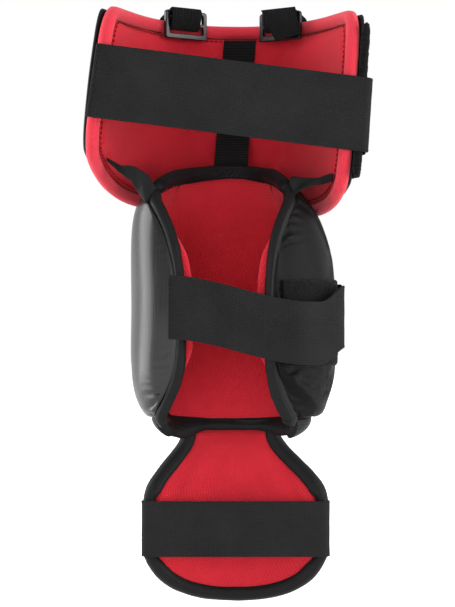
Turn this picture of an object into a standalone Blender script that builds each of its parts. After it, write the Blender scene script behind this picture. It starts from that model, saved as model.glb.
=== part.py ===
"""Ice hockey goalie knee guard: a thigh guard, a knee cup with two side wings and a shin flap.

Metres, +Z up the leg, the leg side faces -Y and the protective front faces +Y.
The origin is on the axis of the leg at the height of the knee.
"""

import math

import bmesh
import bpy
from mathutils import Matrix, Vector

MM = 0.001

# Fits
SEAT = 0.3 * MM
HINGE_GAP = 0.6 * MM
PLATE_GAP = 0.7 * MM

# Thigh guard: an open trough, lining inside and plate outside
THIGH_ARC = math.radians(75.0)
THIGH_RIM_Y = -35.0 * MM
THIGH_DEPTH = 85.0 * MM
THIGH_TOP = 192.5 * MM
THIGH_LEFT_PEAK = 5.3 * MM
THIGH_RIGHT_PEAK = 3.5 * MM
THIGH_LOW = 76.0 * MM
THIGH_LOW_TILT = 6.0 * MM
THIGH_LOW_ARCH = 19.7 * MM
THIGH_LOW_LIFT = 33.7 * MM
THIGH_LEFT_HALF = 83.5 * MM
THIGH_RIGHT_HALF = 76.3 * MM
THIGH_LEAN = 0.03
THIGH_LEFT_FLARE = 0.11
THIGH_RIGHT_FLARE = -0.035
THIGH_DEEPEN = 0.08
THIGH_CORNER = 0.05
THIGH_LINING = 2.5 * MM
THIGH_FOAM = 6.0 * MM
THIGH_PLATE = 3.5 * MM
THIGH_PLATE_MARGIN = 6.5 * MM
THIGH_LOW_SHARE = 0.15
THIGH_CROWN = 1.6 * MM

# Straps and webbing
ELASTIC = 1.5 * MM
LOOP_PILE = 2.5 * MM
HOOK_PILE = 1.2 * MM
THIGH_STRAP_WIDTH = 50.0 * MM
THIGH_STRAP_HEIGHT = 141.2 * MM
THIGH_STRAP_SLOPE = -0.119
THIGH_STRAP_REACH = 88.0 * MM
THIGH_STRAP_BEND = 7.0 * MM
LOOP_PANEL_HEIGHT = 139.0 * MM
LOOP_PANEL_HALF = 53.0 * MM
KNEE_STRAP_WIDTH = 44.0 * MM
KNEE_STRAP_LEFT_HEIGHT = -5.0 * MM
KNEE_STRAP_RIGHT_HEIGHT = -23.0 * MM
KNEE_STRAP_END_HEIGHT = -11.0 * MM
KNEE_STRAP_START = -47.0 * MM
KNEE_STRAP_TURN = 46.0 * MM
KNEE_STRAP_RUN = 100.0 * MM
KNEE_STRAP_LIFTS = 58.0 * MM
KNEE_STRAP_CLIMB = 20.0 * MM
KNEE_STRAP_BEND = 16.0 * MM
KNEE_STRAP_SIDE = 20.0 * MM
LOOP_PATCH_LOW = -46.0 * MM
LOOP_PATCH_HIGH = 14.0 * MM
KNEE_STRAP_END = math.radians(98.0)
FLAP_STRAP_WIDTH = 40.0 * MM
FLAP_STRAP_HEIGHT = -164.0 * MM
WEBBING_WIDTH = 25.0 * MM
WEBBING = 1.4 * MM
CENTRE_WEBBING_LOW = 78.0 * MM
CENTRE_WEBBING_LEAVES = 128.0 * MM
CENTRE_WEBBING_RUN = 30.0 * MM
LEFT_TAPE_WIDTHS = (5.0 * MM, 9.0 * MM, 15.0 * MM, 15.0 * MM)
RIGHT_TAPE_WIDTHS = (6.0 * MM, 6.0 * MM, 9.0 * MM, 14.0 * MM)
LEFT_TAPE_TOP = 97.0 * MM
LEFT_TAPE_BENDS = (Vector((-78.0, -21.0, 92.5)) * MM, Vector((-69.0, -16.0, 87.0)) * MM)
LEFT_TAPE_LOW = 76.0 * MM
RIGHT_TAPE_TOP = 88.0 * MM
RIGHT_TAPE_BENDS = (Vector((59.0, -21.0, 84.0)) * MM, Vector((51.5, -16.0, 83.0)) * MM)
RIGHT_TAPE_LOW = 77.0 * MM

# Knee cup: outer skin of a C-shaped section, drawn at three heights
KNEE_CENTRE = -2.3 * MM
KNEE_HALF_WIDTH = 72.7 * MM
KNEE_LOW = -88.0 * MM
KNEE_MIDDLE = -2.0 * MM
KNEE_HIGH = 98.0 * MM
KNEE_UPPER_RUN = 80.0 * MM
KNEE_LOWER_RUN = 84.0 * MM
KNEE_FRONT = (36.0 * MM, 70.0 * MM, 34.0 * MM)
KNEE_ROUND = (36.0 * MM, 58.0 * MM, 36.0 * MM)
KNEE_SEAM = math.radians(60.0)
KNEE_FRONT_TOP = 88.0 * MM
KNEE_FRONT_LOW = -84.5 * MM
KNEE_CAP = 4.0 * MM
KNEE_FOAM = 10.0 * MM
KNEE_LINING = 3.0 * MM
KNEE_PINCH = 2.2 * MM
LEFT_RIM = (math.radians(117.0), math.radians(147.0), math.radians(110.0))
RIGHT_RIM = (math.radians(136.0), math.radians(158.0), math.radians(109.0))
WING_TOP = 69.0 * MM
WING_LOW = -82.0 * MM
RIGHT_WING_DIP = 10.0 * MM
WING_SKIN = 1.5 * MM
WING_EDGE_FOAM = 5.0 * MM
LEFT_WING_FOAM = 18.0 * MM
RIGHT_WING_FOAM = 9.0 * MM
WING_LINING = 4.0 * MM
WING_LINING_REACH = 5.0 * MM
WING_RIM_DEPTH = 2.9 * MM
COLLAR_GAP = 3.0 * MM
COLLAR_END_TOP = 78.5 * MM
COLLAR_ANGLE = math.radians(108.0)
COLLAR_PAD = 9.6 * MM

# Shin flap
FLAP_Y = 26.0 * MM
FLAP_TOP = -95.3 * MM
FLAP_BOTTOM = -210.0 * MM
FLAP_NECK = 26.0 * MM
FLAP_HALF = 56.3 * MM
FLAP_NECK_CENTRE = -3.5 * MM
FLAP_FLARE_TOP = -96.0 * MM
FLAP_FLARE_LOW = -146.0 * MM
FLAP_BOTTOM_RISE = 19.0 * MM
FLAP_CORNER_RISE = 10.0 * MM
FLAP_STRAP_BEND = 3.5 * MM
FLAP_WRAP = 14.0 * MM
FLAP_LINING = 4.0 * MM
FLAP_FOAM = 4.0 * MM
FLAP_BACKING = 2.5 * MM
FLAP_CROWN = 2.0 * MM

# Bindings and rolled rims
BINDING = 4.9 * MM
WING_BINDING = 3.9 * MM
FLAP_BINDING = 4.2 * MM
BAND = 5.0 * MM

# Slider buckles on the thigh guard
BUCKLE_WIDTH = 36.0 * MM
BUCKLE_PLATE = 3.0 * MM
BUCKLE_BAR = 2.6 * MM
BUCKLE_SLOT = 29.0 * MM
BUCKLE_CORNER = 2.4 * MM
BUCKLE_SLOT_CORNER = 0.8 * MM
BUCKLE_TOP_SLOT = 6.2 * MM
BUCKLE_LOW_SLOT = 5.2 * MM
BUCKLE_FOOT = 4.0 * MM
BUCKLE_RISE = 11.0 * MM
BUCKLE_STAND = 2.0 * MM
GARTER_WIDTH = 28.0 * MM
GARTER_DROP = 41.0 * MM
GARTER_BEND = 6.0 * MM
GARTER_REACH = 6.0 * MM
GARTER_BACK = 5.0 * MM
GARTER_ROUND = 9.0 * MM
LEFT_BUCKLE_P = -0.37
RIGHT_BUCKLE_P = 0.35

# Joint axes
THIGH_HINGE = Vector((0.0, -14.0 * MM, 85.0 * MM))
FLAP_HINGE = Vector((0.0, FLAP_Y - 5.0 * MM, FLAP_TOP + HINGE_GAP))

THIGH_PACK = THIGH_LINING + SEAT + THIGH_FOAM
THIGH_RIM = THIGH_PACK / 2 + 0.2 * MM
THIGH_OUT = THIGH_PACK + PLATE_GAP + THIGH_PLATE
FLAP_PACK = FLAP_LINING + SEAT + FLAP_FOAM + SEAT + FLAP_BACKING


def smooth(x):
    """Ease from 0 to 1."""
    x = min(max(x, 0.0), 1.0)
    return x * x * (3.0 - 2.0 * x)


def normal_of(skin, a, b):
    """Unit normal of a skin at (a, b)."""
    step = 1e-4
    along = skin(a + step, b) - skin(a - step, b)
    up = skin(a, b + step) - skin(a, b - step)
    return along.cross(up).normalized()


def make_material(name, colour, roughness):
    """Principled material of one colour."""
    material = bpy.data.materials.new(name)
    material.use_nodes = True
    shader = material.node_tree.nodes["Principled BSDF"]
    shader.inputs["Base Color"].default_value = (*colour, 1.0)
    shader.inputs["Roughness"].default_value = roughness
    return material


def add_object(name, data, material, body):
    """Put a named piece in the collection, on the empty of its body."""
    piece = bpy.data.objects.new(name, data)
    data.materials.append(material)
    GUARD.objects.link(piece)
    piece.parent = body
    piece.matrix_parent_inverse = body.matrix_world.inverted()
    return piece


def add_body(name, place):
    """Empty that stands on the joint axis of a moving body."""
    body = bpy.data.objects.new(name, None)
    body.empty_display_size = 0.02
    body.location = place
    GUARD.objects.link(body)
    bpy.context.view_layer.update()
    return body


def add_slab(name, columns, rows, place, material, body):
    """Closed slab: a grid pushed through its thickness, every point set by place(p, q, side)."""
    sheet = bmesh.new()
    bmesh.ops.create_grid(sheet, x_segments=columns, y_segments=rows, size=1.0)
    spots = [(vert, vert.co.x, vert.co.y, 0) for vert in sheet.verts]
    known = set(sheet.verts)
    pushed = bmesh.ops.extrude_face_region(sheet, geom=sheet.faces[:])
    for vert in pushed["geom"]:
        if isinstance(vert, bmesh.types.BMVert) and vert not in known:
            spots.append((vert, vert.co.x, vert.co.y, 1))
    for vert, p, q, side in spots:
        vert.co = place(p, q, side)
    bmesh.ops.recalc_face_normals(sheet, faces=sheet.faces[:])
    if sheet.calc_volume(signed=True) < 0.0:
        bmesh.ops.reverse_faces(sheet, faces=sheet.faces[:])
    mesh = bpy.data.meshes.new(name)
    sheet.to_mesh(mesh)
    sheet.free()
    add_object(name, mesh, material, body)


def add_tube(name, points, radius, closed, material, body):
    """Round roll or binding along a line of points."""
    curve = bpy.data.curves.new(name, "CURVE")
    curve.dimensions = "3D"
    curve.bevel_depth = radius
    curve.bevel_resolution = 2
    curve.use_fill_caps = True
    line = curve.splines.new("POLY")
    line.points.add(len(points) - 1)
    for spot, point in zip(line.points, points):
        spot.co = (*point, 1.0)
    line.use_cyclic_u = closed
    add_object(name, curve, material, body)


def edge_line(place, steps):
    """Parameters round the four sides of a panel, in order."""
    corners = ((-1.0, -1.0), (1.0, -1.0), (1.0, 1.0), (-1.0, 1.0))
    line = []
    for index, count in enumerate(steps):
        start = corners[index]
        end = corners[(index + 1) % 4]
        for k in range(count):
            s = k / count
            line.append(place(start[0] + (end[0] - start[0]) * s, start[1] + (end[1] - start[1]) * s))
    return line


def offset_edge(spots, skin, depth, reach, closed):
    """Line that runs outside an edge of a skin, at a depth in the wall and a reach beyond the edge."""
    line = []
    count = len(spots)
    for k, (a, b) in enumerate(spots):
        before = spots[(k - 1) % count] if closed or k > 0 else spots[k]
        after = spots[(k + 1) % count] if closed or k < count - 1 else spots[k]
        tangent = (skin(*after) - skin(*before)).normalized()
        normal = normal_of(skin, a, b)
        outward = tangent.cross(normal).normalized()
        line.append(skin(a, b) + normal * depth + outward * reach)
    return line


def rounded(points, radius, steps):
    """Polyline in a plane with its inner corners rounded to a radius."""
    line = [points[0]]
    for before, corner, after in zip(points, points[1:], points[2:]):
        back = (before - corner).normalized()
        ahead = (after - corner).normalized()
        half = back.angle(ahead) / 2
        reach = min(radius / math.tan(half), 0.48 * (before - corner).length, 0.48 * (after - corner).length)
        centre = corner + (back + ahead).normalized() * (reach / math.cos(half))
        size = reach * math.tan(half)
        start = corner + back * reach - centre
        end = corner + ahead * reach - centre
        turn = start.angle(end)
        for k in range(steps + 1):
            s = k / steps
            arm = start * math.sin((1 - s) * turn) + end * math.sin(s * turn)
            line.append(centre + arm.normalized() * size)
    line.append(points[-1])
    return line


def spread(line, count):
    """Points at even steps along a line."""
    lengths = [0.0]
    for a, b in zip(line, line[1:]):
        lengths.append(lengths[-1] + (b - a).length)
    spaced = []
    index = 0
    for k in range(count + 1):
        target = lengths[-1] * k / count
        while index < len(line) - 2 and lengths[index + 1] < target:
            index += 1
        piece = lengths[index + 1] - lengths[index]
        spaced.append(line[index].lerp(line[index + 1], (target - lengths[index]) / piece))
    return spaced


# Thigh guard

def thigh_skin(p, height):
    """Lining face of the thigh trough: p runs from the left rim to the right rim."""
    below = THIGH_TOP - height
    angle = p * THIGH_ARC
    left = THIGH_LEFT_HALF + THIGH_LEFT_FLARE * below
    right = THIGH_RIGHT_HALF + THIGH_RIGHT_FLARE * below
    half = left + (right - left) * smooth((p + 1.0) / 2)
    x = -THIGH_LEAN * below + half * math.sin(angle) / math.sin(THIGH_ARC)
    dip = (math.cos(angle) - math.cos(THIGH_ARC)) / (1.0 - math.cos(THIGH_ARC))
    return Vector((x, THIGH_RIM_Y + (THIGH_DEPTH + THIGH_DEEPEN * below) * dip, height))


def thigh_wall(p, height, depth):
    """Point in the wall of the thigh guard, depth counted outwards from the lining face."""
    return thigh_skin(p, height) - normal_of(thigh_skin, p, height) * depth


def thigh_low(p):
    """Lower edge of the trough, cut up at the two rims and arched over the knee."""
    return THIGH_LOW - THIGH_LOW_TILT * p - THIGH_LOW_ARCH * p * p + THIGH_LOW_LIFT * p ** 4


def thigh_high(p):
    """Upper edge of the trough, raised to a peak at each rim."""
    return THIGH_TOP + (THIGH_RIGHT_PEAK if p > 0.0 else THIGH_LEFT_PEAK) * p * p


def thigh_spot(p, q, margin):
    """Panel coordinates to (p, height), with the corners rounded and a margin round the edge."""
    cut = THIGH_CORNER * (p * q) ** 6
    across = p * (1.0 - cut)
    up = q * (1.0 - cut)
    low = thigh_low(across) - margin * THIGH_LOW_SHARE
    high = thigh_high(across) + margin
    share = THIGH_LOW_SHARE + (1.0 - THIGH_LOW_SHARE) * smooth((up + 1.0) / 1.2)
    wide = across * (1.0 + margin * share / (THIGH_ARC * (THIGH_LEFT_HALF + THIGH_DEPTH) * 0.72))
    return wide, low + (up + 1.0) / 2 * (high - low)


def thigh_layer(start, end, margin, crown=0.0):
    """Place function of one layer of the thigh guard."""
    def place(p, q, side):
        across, height = thigh_spot(p, q, margin)
        depth = end if side else start - crown * (1.0 - p ** 4) * (1.0 - q ** 4)
        return thigh_wall(across, height, depth)
    return place


def thigh_strap_height(x):
    """Middle height of the sloping thigh strap."""
    return THIGH_STRAP_HEIGHT + THIGH_STRAP_SLOPE * x


def thigh_strap_line(height):
    """Plan line of the inside of the thigh strap at one height, from its sewn end to the fold."""
    right = THIGH_OUT + SEAT + LOOP_PILE + SEAT + HOOK_PILE + SEAT
    front = min(point.y for point in THIGH_RIM_LINE) - THIGH_RIM - SEAT
    rim = thigh_wall(-1.0, height, THIGH_PACK / 2)
    end = thigh_wall(1.04, height, right)
    points = [Vector((rim.x - THIGH_RIM, front, 0.0)), Vector((end.x, front, 0.0))]
    points.append(Vector((end.x, end.y, 0.0)))
    return rounded(points, THIGH_STRAP_BEND, 7)


def strip_place(line_at, columns, width, height_at):
    """Place function of an elastic strap that follows a plan line, its thickness on the outer side."""
    lines = {}

    def place(p, q, side):
        index = round((p + 1.0) / 2 * columns)
        if q not in lines:
            lines[q] = spread(line_at(height_at(0.0) + q * width / 2), columns)
        line = lines[q]
        before = line[max(index - 1, 0)]
        after = line[min(index + 1, columns)]
        along = (after - before).normalized()
        out = Vector((along.y, -along.x, 0.0))
        spot = line[index] + out * (ELASTIC if side else 0.0)
        return Vector((spot.x, spot.y, height_at(line[index].x) + q * width / 2))
    return place


# Knee cup

def by_height(height, values):
    """Value between the low, middle and high stations of the knee cup."""
    low, middle, high = values
    if height < KNEE_MIDDLE:
        return low + (middle - low) * smooth((height - KNEE_LOW) / (KNEE_MIDDLE - KNEE_LOW))
    return high + (middle - high) * smooth((KNEE_HIGH - height) / (KNEE_HIGH - KNEE_MIDDLE))


def knee_half(angle, height):
    """Half width of the knee cup, fuller on the left wing."""
    if height > KNEE_MIDDLE:
        t = (height - KNEE_MIDDLE) / KNEE_UPPER_RUN
        left = 0.15 * t ** 6
        right = 0.36 * t ** 2.5
    else:
        t = (KNEE_MIDDLE - height) / KNEE_LOWER_RUN
        left = 0.20 * t ** 6
        right = 0.22 * t ** 5
    share = (1.0 + math.sin(min(max(angle, -math.pi / 2), math.pi / 2))) / 2
    return KNEE_HALF_WIDTH * (1.0 - left * (1.0 - share) - right * share)


def knee_skin(angle, height):
    """Outer skin of the knee cup: angle 0 is the front, positive to the right."""
    round_y = by_height(height, KNEE_ROUND)
    middle_y = by_height(height, KNEE_FRONT) - round_y
    x = KNEE_CENTRE + knee_half(angle, height) * math.sin(angle)
    return Vector((x, middle_y + round_y * math.cos(angle), height))


def knee_wall(angle, height, depth):
    """Point in the wall of the knee cup, depth counted inwards from the outer skin."""
    return knee_skin(angle, height) + normal_of(knee_skin, angle, height) * depth


def rim_angle(sign, height):
    """Angle of the free edge of a wing."""
    stations = RIGHT_RIM if sign > 0 else LEFT_RIM
    low, middle, high = stations
    half = (KNEE_FRONT_TOP - KNEE_LOW) / 2
    t = (height - (KNEE_FRONT_TOP + KNEE_LOW) / 2) / half
    end = high if t > 0 else low
    return sign * (end + (middle - end) * (1.0 - min(abs(t), 1.0) ** 3))


def front_layer(start, end, swell_start, swell_end):
    """Place function of one layer of the knee front; a swell is the foam's fullness in the middle."""
    def place(p, q, side):
        height = KNEE_FRONT_LOW + (q + 1.0) / 2 * (KNEE_FRONT_TOP - KNEE_FRONT_LOW)
        full = 1.0 - q ** 6
        depth = end + swell_end * full if side else start + swell_start * full
        return knee_wall(p * (KNEE_SEAM - HINGE_GAP / KNEE_HALF_WIDTH), height, depth)
    return place


def wing_top(sign, share):
    """Top edge of a wing; the right one is cut down beside the rim of the thigh guard."""
    dip = RIGHT_WING_DIP if sign > 0 else 0.0
    return WING_TOP - dip * (1.0 - smooth((share - 0.6) / 0.4))


def wing_spot(sign, p, q, reach):
    """Panel coordinates of a wing to (angle, height); p = 1 is the free edge."""
    height = WING_LOW + (q + 1.0) / 2 * (wing_top(sign, (p + 1.0) / 2) - WING_LOW)
    seam = KNEE_SEAM + HINGE_GAP / KNEE_HALF_WIDTH
    edge = abs(rim_angle(sign, height)) + reach / (0.9 * KNEE_HALF_WIDTH)
    trim = 0.12 * ((p + 1.0) / 2) ** 4 * q ** 8
    return sign * (seam + (edge - seam) * (p + 1.0) / 2 * (1.0 - trim)), height


def wing_layer(sign, start, end, swell_start, swell_end, reach):
    """Place function of one layer of a wing."""
    def place(p, q, side):
        angle, height = wing_spot(sign, p, q, reach)
        full = (1.0 - max(p, 0.0) ** 3) * (1.0 - q ** 4)
        depth = end + swell_end * full if side else start + swell_start * full
        return knee_wall(angle, height, depth)
    return place


def collar_top(angle):
    """Top edge of the knee cup, lower towards the free edges."""
    share = smooth((abs(angle) - KNEE_SEAM) / (COLLAR_ANGLE - KNEE_SEAM))
    return KNEE_FRONT_TOP + (COLLAR_END_TOP - KNEE_FRONT_TOP) * share


def collar_place(sign):
    """Place function of the padded collar above a wing."""
    def place(p, q, side):
        first = KNEE_SEAM + HINGE_GAP / KNEE_HALF_WIDTH
        angle = sign * (first + (COLLAR_ANGLE - first) * (p + 1.0) / 2)
        share = (abs(angle) - KNEE_SEAM) / (abs(rim_angle(sign, WING_TOP)) - KNEE_SEAM)
        low = wing_top(sign, share) + COLLAR_GAP
        height = low + (q + 1.0) / 2 * (collar_top(angle) - low)
        return knee_wall(angle, height, COLLAR_PAD if side else 0.0)
    return place


def knee_strap_line():
    """Plan line of the inside of the knee strap, from the left rim round the right wing."""
    front = min(point.y for point in LEFT_RIM_LINE + RIGHT_RIM_LINE) - WING_BINDING - SEAT
    out = LOOP_PILE + SEAT + SEAT + HOOK_PILE + SEAT
    end = knee_wall(KNEE_STRAP_END, KNEE_STRAP_END_HEIGHT, -out)
    stop = knee_wall(KNEE_STRAP_END, KNEE_STRAP_END_HEIGHT - KNEE_STRAP_WIDTH / 2, -out).y - SEAT
    start = Vector((KNEE_STRAP_START, front, 0.0))
    over = Vector((KNEE_STRAP_TURN, front, 0.0))
    side = Vector((end.x + 3 * SEAT, stop - KNEE_STRAP_SIDE, 0.0))
    points = [start, over, side, Vector((end.x, stop, 0.0))]
    return rounded(points, KNEE_STRAP_BEND, 6)


def knee_strap_height(x):
    """Middle height of the knee strap, down to the right and up again round the wing."""
    share = smooth((x - KNEE_STRAP_START) / KNEE_STRAP_RUN)
    climb = smooth((x - KNEE_STRAP_LIFTS) / KNEE_STRAP_CLIMB)
    height = KNEE_STRAP_LEFT_HEIGHT + (KNEE_STRAP_RIGHT_HEIGHT - KNEE_STRAP_LEFT_HEIGHT) * share
    return height + (KNEE_STRAP_END_HEIGHT - KNEE_STRAP_RIGHT_HEIGHT) * climb


def wing_patch(sign, first, last, low, high, start, end):
    """Place function of a patch on the outer skin of a wing, between two angles."""
    def place(p, q, side):
        angle = math.radians(first + (last - first) * (p + 1.0) / 2)
        height = low + (q + 1.0) / 2 * (high - low)
        return knee_wall(sign * angle, height, -end if side else -start)
    return place


# Shin flap

def flap_half(height):
    """Half width of the flap, from its neck to its full width."""
    share = smooth((FLAP_FLARE_TOP - height) / (FLAP_FLARE_TOP - FLAP_FLARE_LOW))
    return FLAP_NECK + (FLAP_HALF - FLAP_NECK) * share


def flap_skin(p, height):
    """Lining face of the flap, wrapped a little round the shin."""
    half = flap_half(height)
    share = smooth((FLAP_FLARE_TOP - height) / (FLAP_FLARE_TOP - FLAP_FLARE_LOW))
    x = FLAP_NECK_CENTRE * (1.0 - share) + p * half
    return Vector((x, FLAP_Y - FLAP_WRAP * (p * half / FLAP_HALF) ** 2, height))


def flap_wall(p, height, depth):
    """Point in the wall of the flap, depth counted outwards from the lining face."""
    return flap_skin(p, height) - normal_of(flap_skin, p, height) * depth


def flap_spot(p, q):
    """Panel coordinates of the flap to (p, height), with a round lower edge."""
    low = FLAP_BOTTOM + FLAP_BOTTOM_RISE * abs(p) ** 2.4 + FLAP_CORNER_RISE * abs(p) ** 9
    return p, low + (q + 1.0) / 2 * (FLAP_TOP - low)


def flap_layer(start, end, crown=0.0):
    """Place function of one layer of the flap."""
    def place(p, q, side):
        across, height = flap_spot(p, q)
        depth = end if side else start - crown * (1.0 - p ** 4) * (1.0 - q ** 4)
        return flap_wall(across, height, depth)
    return place


def flap_strap_line():
    """Plan line of the inside of the flap strap, from one sewn end round the front to the other."""
    rim = [point for point in FLAP_RIM_LINE if abs(point.z - FLAP_STRAP_HEIGHT) < FLAP_STRAP_WIDTH / 2]
    front = min(point.y for point in rim) - FLAP_BINDING - 2 * SEAT
    left = min(point.x for point in rim) - FLAP_BINDING - 2 * SEAT
    right = max(point.x for point in rim) + FLAP_BINDING + 2 * SEAT
    back = FLAP_PACK + 2 * SEAT
    ends = [flap_wall(p, FLAP_STRAP_HEIGHT, back) for p in (-0.5, -0.66, -0.82, -1.0, 1.0, 0.82, 0.66, 0.5)]
    points = [Vector((end.x, end.y, 0.0)) for end in ends]
    middle = max(point.y for point in rim) + FLAP_BINDING
    corners = [Vector((left, middle, 0.0)), Vector((left, front, 0.0))]
    corners += [Vector((right, front, 0.0)), Vector((right, middle, 0.0))]
    return rounded(points[:4] + corners + points[4:], FLAP_STRAP_BEND, 3)


# Buckles

def rectangle(spline_owner, left, right, low, high, radius):
    """Rounded rectangle as a closed polyline on a 2D curve."""
    steps = 3
    line = []
    centres = ((right - radius, high - radius), (left + radius, high - radius))
    centres += ((left + radius, low + radius), (right - radius, low + radius))
    for quarter, (x, y) in enumerate(centres):
        for k in range(steps + 1):
            angle = math.pi / 2 * (quarter + k / steps)
            line.append((x + radius * math.cos(angle), y + radius * math.sin(angle)))
    spline = spline_owner.splines.new("POLY")
    spline.points.add(len(line) - 1)
    for spot, (x, y) in zip(spline.points, line):
        spot.co = (x, y, 0.0, 1.0)
    spline.use_cyclic_u = True


def add_buckle(name, frame, material, body):
    """Slider buckle: a round-cornered plate with two slots, hung by its top bar."""
    curve = bpy.data.curves.new(name, "CURVE")
    curve.dimensions = "2D"
    curve.fill_mode = "BOTH"
    curve.extrude = BUCKLE_PLATE / 2
    half = BUCKLE_WIDTH / 2
    slot = BUCKLE_SLOT / 2
    low_bar = -BUCKLE_BAR / 2 - BUCKLE_TOP_SLOT - BUCKLE_BAR
    bottom = low_bar - BUCKLE_LOW_SLOT - BUCKLE_FOOT
    rectangle(curve, -half, half, bottom, BUCKLE_BAR / 2, BUCKLE_CORNER)
    rectangle(curve, -slot, slot, -BUCKLE_BAR / 2 - BUCKLE_TOP_SLOT, -BUCKLE_BAR / 2, BUCKLE_SLOT_CORNER)
    rectangle(curve, -slot, slot, low_bar - BUCKLE_LOW_SLOT, low_bar, BUCKLE_SLOT_CORNER)
    buckle = add_object(name, curve, material, body)
    buckle.matrix_world = frame @ Matrix.Rotation(math.pi / 2, 4, "X")


def plate_reach(frame, p, drop):
    """How far the plate's outer face is from the bar of a buckle, at a drop below the bar."""
    face = thigh_wall(p, frame.translation.z - drop, THIGH_OUT + SEAT)
    return (face - frame.translation).dot(frame.col[1].to_3d())


def add_garter(name, frame, p, material, body):
    """Webbing tab: up the plate, over the rim, round the bar of the buckle and back on itself."""
    inner = math.hypot(BUCKLE_BAR, BUCKLE_PLATE) / 2 + SEAT
    reach = plate_reach(frame, p, GARTER_BEND)
    points = [Vector((plate_reach(frame, p, GARTER_DROP), -GARTER_DROP))]
    points.append(Vector((reach, -GARTER_BEND)))
    points.append(Vector((GARTER_REACH, inner)))
    line = rounded(points, GARTER_ROUND, 5)[:-1]
    for k in range(9):
        angle = math.pi / 2 + math.pi * k / 8
        line.append(Vector((inner * math.cos(angle), inner * math.sin(angle))))
    line.append(Vector((GARTER_BACK, -inner)))
    line.append(Vector((reach - GARTER_REACH, -inner - 2 * SEAT)))
    columns = len(line) - 1

    def place(p, q, side):
        index = round((p + 1.0) / 2 * columns)
        before = line[max(index - 1, 0)]
        after = line[min(index + 1, columns)]
        along = (after - before).normalized()
        out = Vector((along.y, -along.x)) * (WEBBING if side else 0.0)
        spot = line[index] + out
        return frame @ Vector((q * GARTER_WIDTH / 2, spot.x, spot.y))
    add_slab(name, columns, 1, place, material, body)


def ribbon_place(path, widths, turns):
    """Place function of a soft tape along a path, with its own width and turn at every point."""
    columns = len(path) - 1

    def place(p, q, side):
        spot = (p + 1.0) / 2 * columns
        index = min(int(spot), columns - 1)
        s = spot - index
        centre = path[index].lerp(path[index + 1], s)
        across = turns[index].lerp(turns[index + 1], s).normalized()
        along = (path[index + 1] - path[index]).normalized()
        face = along.cross(across).normalized()
        wide = widths[index] + (widths[index + 1] - widths[index]) * s
        return centre + across * (q * wide / 2) + face * (WEBBING * (side - 0.5))
    return place


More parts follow.
